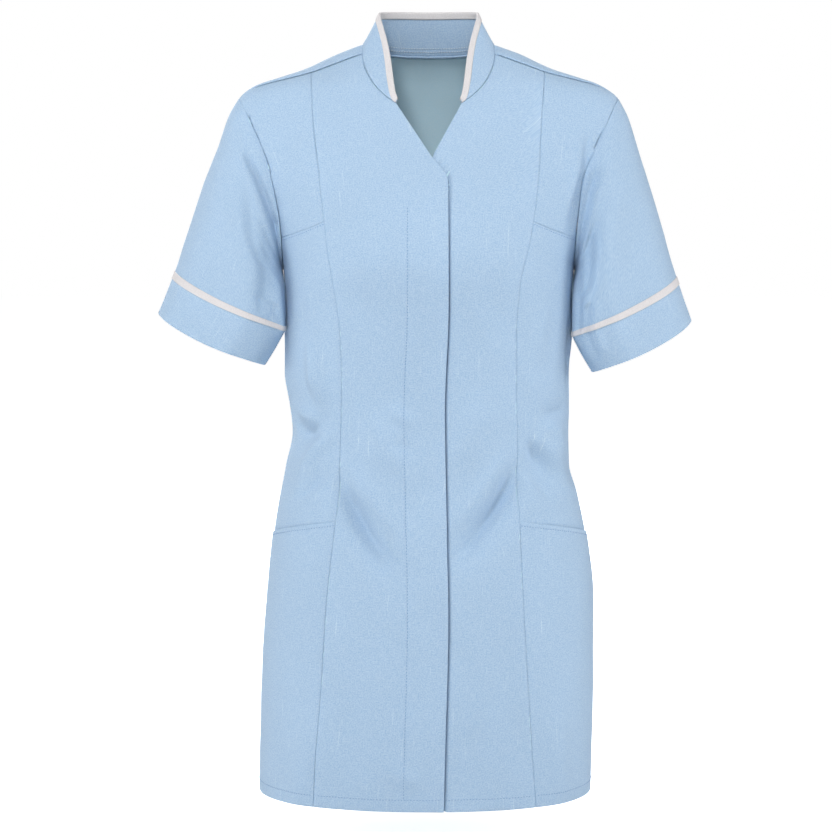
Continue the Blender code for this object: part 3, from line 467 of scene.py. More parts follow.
# How finely the panels are drawn, in columns and rows of about 3.5 mm.
NECK_BACK_COLUMNS = 28
SHOULDER_COLUMNS = 28
SIDE_COLUMNS = 20
TIP_TO_BUST_ROWS = 42
BUST_TO_UNDERARM_ROWS = 12
UPPER_ROWS = TIP_TO_BUST_ROWS + BUST_TO_UNDERARM_ROWS
BODICE_ROWS = 72
SKIRT_ROWS = 76
RIDGE_STEPS = 200
HEIGHT_HALVINGS = 40
OUTWARD_STEP = 0.01
NO_LENGTH = 1e-9
NO_AREA = 1e-12
MOST_OF_A_STEP = 0.8
SAME_PLACE = 1e-6


def curve_through(rows):
    """A smooth function through the rows, whose first column is what it depends on."""
    rows = np.array(sorted(rows))
    at = rows[:, 0]
    values = rows[:, 1:]
    steps = np.diff(at)
    slopes = np.diff(values, axis=0) / steps[:, None]
    before = slopes[:-1]
    after = slopes[1:]
    same_way = before * after > 0
    total = np.where(same_way, before + after, 1.0)
    tangents = np.vstack((slopes[:1], np.where(same_way, 2 * before * after / total, 0.0), slopes[-1:]))

    def value(where):
        where = np.clip(np.asarray(where, float), at[0], at[-1])
        row = np.clip(np.searchsorted(at, where) - 1, 0, len(at) - 2)
        step = steps[row][..., None]
        part = (where - at[row])[..., None] / step
        rest = 1 - part
        return (
            values[row] * rest * rest * (1 + 2 * part)
            + values[row + 1] * part * part * (1 + 2 * rest)
            + (tangents[row] * rest - tangents[row + 1] * part) * part * rest * step
        )

    return value


def ease(part):
    """0 below 0, 1 above 1 and a smooth step between."""
    part = np.clip(part, 0.0, 1.0)
    return part * part * (3 - 2 * part)


torso_at = curve_through(TORSO)
front_seam_at = curve_through(FRONT_SEAM)
armhole_at = curve_through(ARMHOLE)
shoulder_seam_at = curve_through(SHOULDER_SEAM)
neck_back_at = curve_through(NECK_BACK)


def section(side, height):
    """Half width, front depth, back depth and squareness of the torso at these heights."""
    row = torso_at(height)
    return row[..., 0 if side < 0 else 1], row[..., 2], row[..., 3], row[..., 4]


def around_at(side, x, height, behind=False):
    """The share of the way around, 0 at centre front, 1 at the side and 2 at centre back."""
    half, _, _, square = section(side, height)
    part = np.minimum(np.abs(x) / half, 1.0) ** (square / 2)
    around = np.copysign(np.arcsin(part) * 2 / math.pi, x)
    return np.where(behind, 2 - around, around)


def together(*coordinates):
    """Points from their coordinates, each of which is a number or a grid."""
    return np.stack(np.broadcast_arrays(*coordinates), axis=-1)


def smooth_torso(side, around, height):
    """Points of the torso without folds."""
    half, front, back, square = section(side, height)
    sine = np.sin(around * math.pi / 2)
    cosine = np.cos(around * math.pi / 2)
    x = half * np.copysign(np.abs(sine) ** (2 / square), sine)
    depth = np.where(around < 1, front, back)
    y = -depth * np.copysign(np.abs(cosine) ** (2 / square), cosine)
    return together(side * x, y, height)


def from_centre(side, around, height):
    return smooth_torso(side, around, height)[..., 0] * side


def outward(side, around, height):
    """The direction out of the torso at these points."""
    step = OUTWARD_STEP
    along = smooth_torso(side, around + step, height) - smooth_torso(side, around - step, height)
    up = smooth_torso(side, around, height + step) - smooth_torso(side, around, height - step)
    normal = np.cross(along, up) * side
    return normal / np.maximum(np.linalg.norm(normal, axis=-1, keepdims=True), NO_LENGTH)


def fold_line(row):
    """A fold as (behind, start, end, flank, rise), with its ends by distance around and height."""
    side, behind, from_x, from_z, to_x, to_z, flank, rise = row
    start = side * float(around_at(side, from_x, from_z)) * QUARTER_GIRTH
    end = side * float(around_at(side, to_x, to_z)) * QUARTER_GIRTH
    return behind, np.array((start, from_z)), np.array((end, to_z)), flank, rise


FOLD_LINES = [fold_line(row) for row in FOLDS + CREASES]
FRONT_SHARE = 2.6
BACK_SHARE = 1.4
FOLD_TAPER = 0.75


def one_fold(across, up, run, flank):
    """(part of the way along it, share of its rise) by distance across and up from a fold's start."""
    part = np.clip((across * run[0] + up * run[1]) / np.dot(run, run), 0.0, 1.0)
    away = np.hypot(across - run[0] * part, up - run[1] * part) / flank
    return part, np.exp(-away * away)


def fold_rise(side, around, height):
    """How far the folds push the cloth out here, the same for every layer that lies here."""
    rise = np.zeros(np.broadcast_shapes(np.shape(around), np.shape(height)))
    for behind, start, end, flank, height_of_fold in FOLD_LINES:
        from_middle = 2 - around if behind else around
        across = side * from_middle * QUARTER_GIRTH - start[0]
        part, near = one_fold(across, height - start[1], end - start, flank)
        share = (BACK_SHARE if behind else FRONT_SHARE) * (1 - FOLD_TAPER * (2 * part - 1) ** 2)
        rise = rise + height_of_fold * share * near
    return rise


def cloth_wave(points):
    """The slight waviness that all the cloth has."""
    flat = points.reshape(-1, 3)
    wave = [sum(size * noise.noise(Vector(point) * scale) for scale, size in WAVE_SIZES) for point in flat]
    return np.array(wave).reshape(points.shape[:-1])


def torso(side, around, height, out=0.0):
    """Points of the cloth on the torso, moved out by so much."""
    around, height = np.broadcast_arrays(np.asarray(around, float), np.asarray(height, float))
    points = smooth_torso(side, around, height)
    out = out + fold_rise(side, around, height) + cloth_wave(points)
    return points + outward(side, around, height) * out[..., None]


# The ridge of the shoulder, where front and back meet, by its distance from the centre.
RIDGE_HEIGHTS = np.linspace(NECK_POINT, SHOULDER_TIP, RIDGE_STEPS)
RIDGE_RISE_INSIDE_NECK = 0.1


def ridge(side, x):
    inside = np.maximum(NECK_POINT_HALF_WIDTH - np.abs(x), 0.0)
    halves = section(side, RIDGE_HEIGHTS)[0]
    return np.interp(np.abs(x), halves, RIDGE_HEIGHTS) + inside * RIDGE_RISE_INSIDE_NECK


def drape_of(side, x, height, behind):
    """(x, drape) of points, with drape 0 on the ridge, -1 on the underarm's level in front and 1 behind."""
    top = ridge(side, x)
    drape = np.sqrt(np.maximum(top - height, 0.0) / (top - UNDERARM))
    return together(x, np.where(behind, drape, -drape))


def around_height(side, places):
    """(around, height) of points that are given as (x, drape)."""
    x, drape = places[..., 0], places[..., 1]
    top = ridge(side, x)
    height = top - (top - UNDERARM) * drape * drape
    return around_at(side, x, height, drape > 0), height


def filled(bottom, top, inner, outer):
    """Places inside four edges, as rows from bottom to top of places from inner to outer."""
    across = np.linspace(0, 1, len(bottom))[None, :, None]
    up = np.linspace(0, 1, len(inner))[:, None, None]
    bottom, top = bottom[None], top[None]
    inner, outer = inner[:, None], outer[:, None]
    corners = (
        (1 - up) * ((1 - across) * bottom[:, :1] + across * bottom[:, -1:])
        + up * ((1 - across) * top[:, :1] + across * top[:, -1:])
    )
    return (1 - up) * bottom + up * top + (1 - across) * inner + across * outer - corners


def front_seam_x(side, height):
    return front_seam_at(height)[..., 0 if side < 0 else 1]


def front_seam_around(side, height):
    return around_at(side, front_seam_x(side, height), height)


def armhole_x(height, behind):
    return armhole_at(height)[..., 1 if behind else 0]


def armhole_heights(start, end, rows):
    """Heights along the armhole between two heights, closer together at its top and bottom."""
    span = SHOULDER_TIP - UNDERARM
    angle = [math.acos(1 - 2 * (SHOULDER_TIP - height) / span) for height in (start, end)]
    return SHOULDER_TIP - span * (1 - np.cos(np.linspace(*angle, rows + 1))) / 2


def levels(mouth):
    """Heights of the rows up to the underarm, from the hem by way of the pocket's mouth."""
    skirt = np.linspace(HEM, mouth, SKIRT_ROWS + 1)
    return np.concatenate((skirt, np.linspace(mouth, UNDERARM, BODICE_ROWS + 1)[1:]))


def lower_heights(part):
    """Heights of the rows below the underarm, in columns from the inner levels to the outer ones."""
    return INNER_LEVELS * (1 - part) + OUTER_LEVELS * part


# Heights of the rows where panels meet, from bottom to top.
SEAM_UPPER = np.concatenate((
    np.linspace(UNDERARM, BUST_SEAM_INNER, BUST_TO_UNDERARM_ROWS + 1),
    np.linspace(BUST_SEAM_INNER, FRONT_SEAM_TOP, TIP_TO_BUST_ROWS + 1)[1:],
))
ARMHOLE_LOWER = armhole_heights(UNDERARM, BUST_SEAM_OUTER, BUST_TO_UNDERARM_ROWS)
ARMHOLE_UPPER = armhole_heights(BUST_SEAM_OUTER, SHOULDER_TIP, TIP_TO_BUST_ROWS)
ARMHOLE_BACK = armhole_heights(UNDERARM, SHOULDER_TIP, UPPER_ROWS)
INNER_LEVELS = levels(POCKET_MOUTH_INNER)[:-1, None]
OUTER_LEVELS = levels(POCKET_MOUTH_OUTER)[:-1, None]


def shoulder_places(side, start, end, columns):
    """Places along the shoulder seam, by distance from the centre."""
    x = np.linspace(start, end, columns + 1)
    return drape_of(side, x, shoulder_seam_at(x)[..., 0], False)


def run_along(points, axis=0):
    """Distances from the start of a path, or from the first row or column of a grid."""
    steps = np.linalg.norm(np.diff(points, axis=axis), axis=-1)
    start = np.zeros_like(np.take(steps, [0], axis=axis))
    return np.concatenate((start, np.cumsum(steps, axis=axis)), axis=axis)


def height_behind(side, x, y):
    """The height at which the torso lies this far from the side seams' plane."""
    low = np.full(np.shape(x), UNDERARM)
    high = ridge(side, x)
    for _ in range(HEIGHT_HALVINGS):
        height = (low + high) / 2
        half, front, back, square = section(side, height)
        depth = np.where(y < 0, front, back)
        reach = depth * np.maximum(1 - (np.abs(x) / half) ** square, 0.0) ** (1 / square)
        low = np.where(reach > np.abs(y), height, low)
        high = np.where(reach > np.abs(y), high, height)
    return (low + high) / 2


def back_half(side):
    """(around, height) of one half of the back, from hem to shoulder and from centre back to the side."""
    neck_x, neck_y = neck_back_at(np.linspace(1, 0, NECK_BACK_COLUMNS + 1)).T
    neck = drape_of(side, neck_x, height_behind(side, neck_x, neck_y), neck_y > 0)
    seam_x = float(front_seam_x(side, FRONT_SEAM_TOP))
    shoulder = shoulder_places(side, NECK_SEAM_CORNER[0], seam_x, SHOULDER_COLUMNS)
    to_tip = shoulder_places(side, seam_x, TIP_HALF_WIDTH, SIDE_COLUMNS)
    top = np.concatenate((neck[:-1], shoulder, to_tip[1:]))
    outer = drape_of(side, armhole_x(ARMHOLE_BACK, True), ARMHOLE_BACK, True)
    outer[-1] = top[-1]
    drapes = np.linspace(1.0, top[0, 1], UPPER_ROWS + 1)
    inner = together(0.0, drapes)
    around = np.linspace(2.0, 1.0, len(top))
    bottom = drape_of(side, from_centre(side, around, UNDERARM), UNDERARM, True)
    upper = together(*around_height(side, filled(bottom, top, inner, outer)))
    lower = together(around, lower_heights(np.linspace(0, 1, len(top))))
    return np.concatenate((lower, upper))


def grid_normals(points, tube=False):
    """Directions out of a grid of points, away from the axis of each of its rows."""
    if tube:
        wrapped = np.concatenate((points[:, -2:-1], points, points[:, 1:2]), axis=1)
        across = (wrapped[:, 2:] - wrapped[:, :-2]) / 2
        middle = points.mean(axis=1, keepdims=True)
    else:
        across = np.gradient(points, axis=1)
        middle = points * np.array((0.0, 0.0, 1.0))
    normals = np.cross(across, np.gradient(points, axis=0))
    normals /= np.maximum(np.linalg.norm(normals, axis=-1, keepdims=True), NO_AREA)
    return normals * np.sign((normals * (points - middle)).sum())


def drawn_back(points, first_row=0.0, last_row=0.0, first_column=0.0, last_column=0.0):
    """The grid with its four edges moved in by these distances, each one for all or one for each point."""
    points = points.copy()

    def pull(edge, beside, distance):
        inward = beside - edge
        length = np.maximum(np.linalg.norm(inward, axis=1), NO_LENGTH)
        return edge + inward * np.reshape(np.minimum(distance / length, MOST_OF_A_STEP), (-1, 1))

    points[0] = pull(points[0], points[1], first_row)
    points[-1] = pull(points[-1], points[-2], last_row)
    points[:, 0] = pull(points[:, 0], points[:, 1], first_column)
    points[:, -1] = pull(points[:, -1], points[:, -2], last_column)
    return points


FOLD_ANGLES = np.radians((0, 36, 72, 108, 144, 180))
TURN_ROWS = 5


def turned_in(cloth, edge, width, radius):
    """(points, normals) with one edge folded under, round this radius and back inside for this width."""
    points, normals = cloth
    columns = edge.endswith("column")
    if columns:
        points, normals = points.swapaxes(0, 1), normals.swapaxes(0, 1)
    if edge.startswith("last"):
        points, normals = points[::-1], normals[::-1]
    lengths = run_along(points)
    inside = np.linspace(width, radius, TURN_ROWS + 1)[:-1]
    away = np.concatenate((inside, (radius - radius * np.sin(FOLD_ANGLES))[::-1]))
    under = np.concatenate((np.full(TURN_ROWS, 2 * radius), (radius - radius * np.cos(FOLD_ANGLES))[::-1]))
    both = np.concatenate((points, normals), axis=2)
    turned = np.empty((len(away), points.shape[1], 6))
    for column in range(points.shape[1]):
        for axis in range(6):
            turned[:, column, axis] = np.interp(away, lengths[:, column], both[:, column, axis])
    folded = turned[..., :3] - turned[..., 3:] * under[:, None, None]
    points = np.concatenate((folded, points[1:]))
    normals = np.concatenate((turned[..., 3:], normals[1:]))
    if edge.startswith("last"):
        points, normals = points[::-1], normals[::-1]
    if columns:
        points, normals = points.swapaxes(0, 1), normals.swapaxes(0, 1)
    return points, normals


def sewn(name, cloth, outside, inside, thickness=CLOTH, tube=False):
    """A piece of cloth: a flat grid set on these points, closed to a tube where asked, and thickened."""
    points, normals = cloth
    middle = (len(points) // 2, points.shape[1] // 2)
    facing = np.cross(np.gradient(points, axis=1)[middle], np.gradient(points, axis=0)[middle])
    if np.dot(facing, normals[middle]) < 0:
        points = points[:, ::-1]
    rows, columns = points.shape[0] - 1, points.shape[1] - 1
    u = run_along(points, axis=1)
    v = run_along(points)
    shape = bmesh.new()
    threads = shape.loops.layers.uv.new(SEWN_UV)
    bmesh.ops.create_grid(shape, x_segments=columns, y_segments=rows, size=1.0)
    place_of = {}
    for vertex in shape.verts:
        column = round((vertex.co.x + 1) / 2 * columns)
        row = round((vertex.co.y + 1) / 2 * rows)
        place_of[vertex] = (u[row, column], v[row, column])
        vertex.co = points[row, column]
    for face in shape.faces:
        for loop in face.loops:
            loop[threads].uv = place_of[loop.vert]
    if tube:
        bmesh.ops.remove_doubles(shape, verts=shape.verts, dist=SAME_PLACE)
    mesh = bpy.data.meshes.new(name)
    shape.to_mesh(mesh)
    shape.free()
    mesh.shade_smooth()
    mesh.materials.append(outside)
    mesh.materials.append(inside)
    piece = bpy.data.objects.new(name, mesh)
    scene.collection.objects.link(piece)
    wall = piece.modifiers.new("cloth", "SOLIDIFY")
    wall.thickness = thickness
    wall.offset = 0.0
    wall.use_quality_normals = True
    wall.material_offset = 1
    return piece


def all_edges_turned(
    points, last_row=ALLOWANCE, first_column=ALLOWANCE, first_column_radius=ALLOWANCE_RADIUS
):
    """The hem turned up, and the seam allowances turned in on the other three edges."""
    cloth = (points, grid_normals(points))
    cloth = turned_in(cloth, "first row", HEM_TURN_UP, HEM_RADIUS)
    cloth = turned_in(cloth, "last row", last_row, ALLOWANCE_RADIUS)
    cloth = turned_in(cloth, "last column", ALLOWANCE, ALLOWANCE_RADIUS)
    return turned_in(cloth, "first column", first_column, first_column_radius)


def shoulder_lap(half):
    """How far half of the back stands out over the fronts along the shoulder seam."""
    near_seam = ease((np.arange(len(half)) - len(half) + 1 + SHOULDER_LAP_ROWS) / SHOULDER_LAP_ROWS)
    columns = np.arange(half.shape[1])
    past_neck = ease((columns - NECK_BACK_COLUMNS) / SHOULDER_LAP_COLUMNS)
    before_tip = ease((columns[-1] - columns) / SHOULDER_TIP_COLUMNS)
    return SHOULDER_LAP * near_seam[:, None] * past_neck * before_tip


halves = [back_half(side) for side, _ in SIDES]
half_points = [
    torso(side, half[..., 0], half[..., 1], shoulder_lap(half)) for half, (side, _) in zip(halves, SIDES)
]
back_points = np.concatenate((half_points[0][:, ::-1], half_points[1][:, 1:]), axis=1)
back_points = drawn_back(back_points, 0.0, SEAM_HALF_GAP, SEAM_HALF_GAP, SEAM_HALF_GAP)
back = sewn("back_cloth", all_edges_turned(back_points, last_row=NECK_ALLOWANCE), blue_cloth, blue_inside_painted_light)
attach(back, "root")
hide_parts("back")


# The front: two long centre panels. The right one lies over the left one, its closing edge turned in
# to a 36 mm facing, and a row of stitches down it holds the hidden fastening's strip.
FLY_LAP = 0.0030
FACING = 0.036
FACING_RADIUS = 0.0007
FLY_STITCH_FROM_EDGE = 0.0405
FLY_STITCH_TOP = -0.136
CLOSING_EDGE = (
    (-0.1030, 0.0180),
    (-0.1150, 0.0190),
    (-0.2350, 0.0190),
    (-0.3410, 0.0155),
    (-0.4310, 0.0170),
    (-0.5480, 0.0190),
    (-0.6780, 0.0160),
    (HEM, 0.0145),
)
UNDERLAP = 0.0210
V_FOOT = -0.103
V_END = (0.0335, -0.030)
V_CROSSING_PAST_CENTRE = 0.003
V_CROSSING = -0.086
V_FOOT_ROUNDING = 0.006
V_FOOT_ROUNDING_SHARE = 0.5
LAP_EASE = (0.0006, 0.0038)
GROOVE = 0.0024
GROOVE_FROM_EDGE = 0.0006
GROOVE_FLANK = 0.0014
GROOVE_END_RUN = 0.006
FRONT_COLUMNS = 108
EDGE_LIFT = 0.0008
EDGE_LIFT_TOP = -0.13
EDGE_LIFT_RUN = 0.12
EDGE_LIFT_WIDTH = 0.022
NECK_FRONT_ROWS = 20
V_EDGE_ROWS = 18
STITCH_STEPS = 260
STITCH_PITCH = 0.0031
STITCH_LENGTH_SHARE = 0.78
STITCH_THREAD = 0.00072
STITCH_LIFT = 0.00036

# The front half of the neck seam, from the collar's end. Columns: part of the way, from centre, height.
NECK_FRONT = (
    (0.00, *V_END),
    (0.20, 0.0430, -0.0235),
    (0.41, 0.0525, -0.0145),
    (0.63, 0.0605, -0.0030),
    (0.86, 0.0665, 0.0120),
    (1.00, *NECK_SEAM_CORNER),
)
neck_front_at = curve_through(NECK_FRONT)
closing_edge_at = curve_through(CLOSING_EDGE)


def closing_x(side, height):
    """The edge beside the centre, as a distance from the centre that is negative past it."""
    if side > 0:
        return np.full(np.shape(height), -UNDERLAP)
    return -closing_edge_at(height)[..., 0]


def lap_of(side, x, height):
    """How far the fronts stand in and out where the right one closes over the left one."""
    if side < 0:
        lift = EDGE_LIFT * ease((EDGE_LIFT_TOP - height) / EDGE_LIFT_RUN)
        return lift * (1 - ease((x - closing_x(side, height)) / EDGE_LIFT_WIDTH))
    foot = closing_edge_at(V_FOOT)[0]
    slope = (foot - V_CROSSING_PAST_CENTRE) / (V_CROSSING - V_FOOT)
    above_foot = np.maximum(height - V_FOOT, 0.0)
    past_edge = x - closing_edge_at(height)[..., 0] + above_foot * slope
    depth = GROOVE * (1 - ease(above_foot / GROOVE_END_RUN))
    groove = depth * np.exp(-(((past_edge - GROOVE_FROM_EDGE) / GROOVE_FLANK) ** 2))
    return -groove - FLY_LAP * (1 - ease((past_edge - LAP_EASE[0]) / (LAP_EASE[1] - LAP_EASE[0])))


def front_edge(side):
    """The inner edge from the underarm's level by way of the V up to the shoulder seam, as (x, height)."""
    past = V_CROSSING_PAST_CENTRE * side
    foot = -float(closing_edge_at(V_FOOT)[0]) if side < 0 else -UNDERLAP
    slope = (V_END[1] - V_CROSSING) / (V_END[0] - past)
    foot_height = V_FOOT if side < 0 else V_CROSSING - slope * (past + UNDERLAP)
    placket_rows = UPPER_ROWS - V_EDGE_ROWS - NECK_FRONT_ROWS
    heights = np.linspace(UNDERARM, foot_height, placket_rows + 1)
    placket = together(closing_x(side, heights), heights)
    placket[-1] = (foot, foot_height)
    corners = np.array(((foot, foot_height), (past, V_CROSSING), V_END))
    share = np.linspace(0, 2, V_EDGE_ROWS + 1)[1:]
    slope_points = together(*(np.interp(share, (0, 1, 2), column) for column in corners.T))
    neck = neck_front_at(np.linspace(0, 1, NECK_FRONT_ROWS + 1)[1:])
    edge = np.concatenate((placket, slope_points, neck))
    away = np.linalg.norm(edge - corners[0], axis=1)
    rounding = np.maximum(1 - away / V_FOOT_ROUNDING, 0.0)[:, None] ** 2
    below = np.array((foot, foot_height - V_FOOT_ROUNDING))
    slanting = corners[1] - corners[0]
    above = corners[0] + slanting * V_FOOT_ROUNDING / np.linalg.norm(slanting)
    return edge + ((below + above) / 2 - corners[0]) * rounding * V_FOOT_ROUNDING_SHARE


def front_places(side):
    """(around, height) of a centre front, from hem to neck and from the closing edge to the long seam."""
    edge = front_edge(side)
    inner = drape_of(side, edge[:, 0], edge[:, 1], False)
    seam_x = float(front_seam_x(side, FRONT_SEAM_TOP))
    top = shoulder_places(side, NECK_SEAM_CORNER[0], seam_x, FRONT_COLUMNS)
    inner[-1] = top[0]
    outer = drape_of(side, front_seam_x(side, SEAM_UPPER), SEAM_UPPER, False)
    outer[-1] = top[-1]
    start = float(around_at(side, closing_x(side, UNDERARM), UNDERARM))
    end = float(front_seam_around(side, UNDERARM))
    around = np.linspace(start, end, FRONT_COLUMNS + 1)
    bottom = drape_of(side, from_centre(side, around, UNDERARM), UNDERARM, False)
    upper = together(*around_height(side, filled(bottom, top, inner, outer)))
    start = around_at(side, closing_x(side, INNER_LEVELS), INNER_LEVELS)
    part = np.linspace(0, 1, FRONT_COLUMNS + 1)
    around = start * (1 - part) + front_seam_around(side, INNER_LEVELS) * part
    lower = together(around, INNER_LEVELS)
    return np.concatenate((lower, upper))


def stitches(name, path, normals, paint=thread_paint, pitch=STITCH_PITCH, thread=STITCH_THREAD):
    """A row of thread stitches on the cloth, along a path of points."""
    template = bmesh.new()
    bmesh.ops.create_icosphere(template, subdivisions=1, radius=0.5)
    knob = np.array([vertex.co for vertex in template.verts])
    faces = np.array([[vertex.index for vertex in face.verts] for face in template.faces])
    template.free()
    lengths = run_along(path)
    count = int(lengths[-1] / pitch)
    middles = (np.arange(count) + 0.5) * pitch

    def at(distance, values):
        return together(*(np.interp(distance, lengths, column) for column in values.T))

    forward = at(middles + pitch / 4, path) - at(middles - pitch / 4, path)
    forward /= np.linalg.norm(forward, axis=1, keepdims=True)
    up = at(middles, normals)
    aside = np.cross(forward, up)
    aside /= np.linalg.norm(aside, axis=1, keepdims=True)
    places = at(middles, path) + up * STITCH_LIFT
    points = (
        places[:, None]
        + forward[:, None] * knob[None, :, :1] * pitch * STITCH_LENGTH_SHARE
        + aside[:, None] * knob[None, :, 1:2] * thread
        + up[:, None] * knob[None, :, 2:] * thread
    ).reshape(-1, 3)
    all_faces = (faces[None] + (np.arange(count) * len(knob))[:, None, None]).reshape(-1, 3)
    mesh = bpy.data.meshes.new(name)
    mesh.from_pydata(points.tolist(), [], all_faces.tolist())
    uv = mesh.uv_layers.new(name=SEWN_UV)
    corners = points[all_faces.ravel()][:, (0, 2)]
    uv.uv.foreach_set("vector", corners.astype(np.float32).ravel())
    mesh.shade_smooth()
    mesh.materials.append(paint)
    row = bpy.data.objects.new(name, mesh)
    scene.collection.objects.link(row)
    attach(row, "root")


def torso_stitches(name, side, around, height, out=0.0):
    """A row of stitches on the torso's cloth."""
    stitches(name, torso(side, around, height, out), outward(side, around, height))


for side, word in SIDES:
    places = front_places(side)
    lap = lap_of(side, from_centre(side, places[..., 0], places[..., 1]), places[..., 1])
    points = torso(side, places[..., 0], places[..., 1], lap)
    points = drawn_back(points, 0.0, SHOULDER_GAP, 0.0, SEAM_HALF_GAP)
    cloth = all_edges_turned(points, first_column=FACING, first_column_radius=FACING_RADIUS)
    front = sewn(f"centre_front_{word}_cloth", cloth, blue_cloth, blue_inside_painted_light)
    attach(front, "root")
    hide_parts(f"centre_front_{word}")

fly_heights = np.linspace(FLY_STITCH_TOP, HEM + HEM_STITCH, STITCH_STEPS)
fly_x = closing_x(-1, fly_heights) + FLY_STITCH_FROM_EDGE
torso_stitches("fly_stitches", -1, around_at(-1, fly_x, fly_heights), fly_heights)


# The upper side fronts: between shoulder, armhole and the short bust seam, which is topstitched.
# The side fronts hang from that seam to the hem. Each pocket is a layer over the lower side front,
# sewn into the seams beside it, with a turned and stitched mouth.
BUST_SEAM_SAG = 0.001
BUST_STITCH_BELOW = 0.0026
POCKET_LAP = (0.0002, 0.0012)
POCKET_BULGE = 0.0009
UNDER_POCKET = 0.0012
UNDER_POCKET_ABOVE_MOUTH = 0.004
UNDER_POCKET_RUN = 0.008
POCKET_CLOTH = 0.0006
POCKET_ALLOWANCE = 0.001
MOUTH_TURN = 0.018
MOUTH_RADIUS = 0.0005
MOUTH_STITCH = 0.0042
HEM_STITCH_FROM_SEAM = 0.01
HEM_STITCH_FROM_CENTRE_BACK = 0.001


def bust_seam(side):
    """The short seam from the long front seam to the armhole, as (x, height)."""
    part = np.linspace(0, 1, SIDE_COLUMNS + 1)
    start = float(front_seam_x(side, BUST_SEAM_INNER))
    end = float(armhole_x(BUST_SEAM_OUTER, False))
    sag = BUST_SEAM_SAG * np.sin(part * math.pi)
    return start + (end - start) * part, BUST_SEAM_INNER + (BUST_SEAM_OUTER - BUST_SEAM_INNER) * part - sag


def pocket_lap(columns):
    """How far the pocket stands out in columns from the long front seam to the side seam."""
    part = np.linspace(0, 1, columns)
    return POCKET_LAP[0] + (POCKET_LAP[1] - POCKET_LAP[0]) * part + POCKET_BULGE * np.sin(part * math.pi)


def upper_side_places(side):
    inner_heights = SEAM_UPPER[BUST_TO_UNDERARM_ROWS:]
    inner = drape_of(side, front_seam_x(side, inner_heights), inner_heights, False)
    outer = drape_of(side, armhole_x(ARMHOLE_UPPER, False), ARMHOLE_UPPER, False)
    top = shoulder_places(side, float(front_seam_x(side, FRONT_SEAM_TOP)), TIP_HALF_WIDTH, SIDE_COLUMNS)
    inner[-1], outer[-1] = top[0], top[-1]
    bottom = drape_of(side, *bust_seam(side), False)
    return together(*around_height(side, filled(bottom, top, inner, outer)))


def side_front_places(side):
    """(around, height) of a side front, from hem to bust seam."""
    seam_x, seam_height = bust_seam(side)
    top = together(around_at(side, seam_x, seam_height), seam_height)
    inner_heights = SEAM_UPPER[: BUST_TO_UNDERARM_ROWS + 1]
    inner = together(front_seam_around(side, inner_heights), inner_heights)
    outer_around = around_at(side, armhole_x(ARMHOLE_LOWER, False), ARMHOLE_LOWER)
    outer = together(outer_around, ARMHOLE_LOWER)
    around = np.linspace(inner[0, 0], 1.0, SIDE_COLUMNS + 1)
    bottom = together(around, UNDERARM)
    upper = filled(bottom, top, inner, outer)
    part = np.linspace(0, 1, SIDE_COLUMNS + 1)
    around = front_seam_around(side, INNER_LEVELS) * (1 - part) + part
    return np.concatenate((together(around, lower_heights(part)), upper))


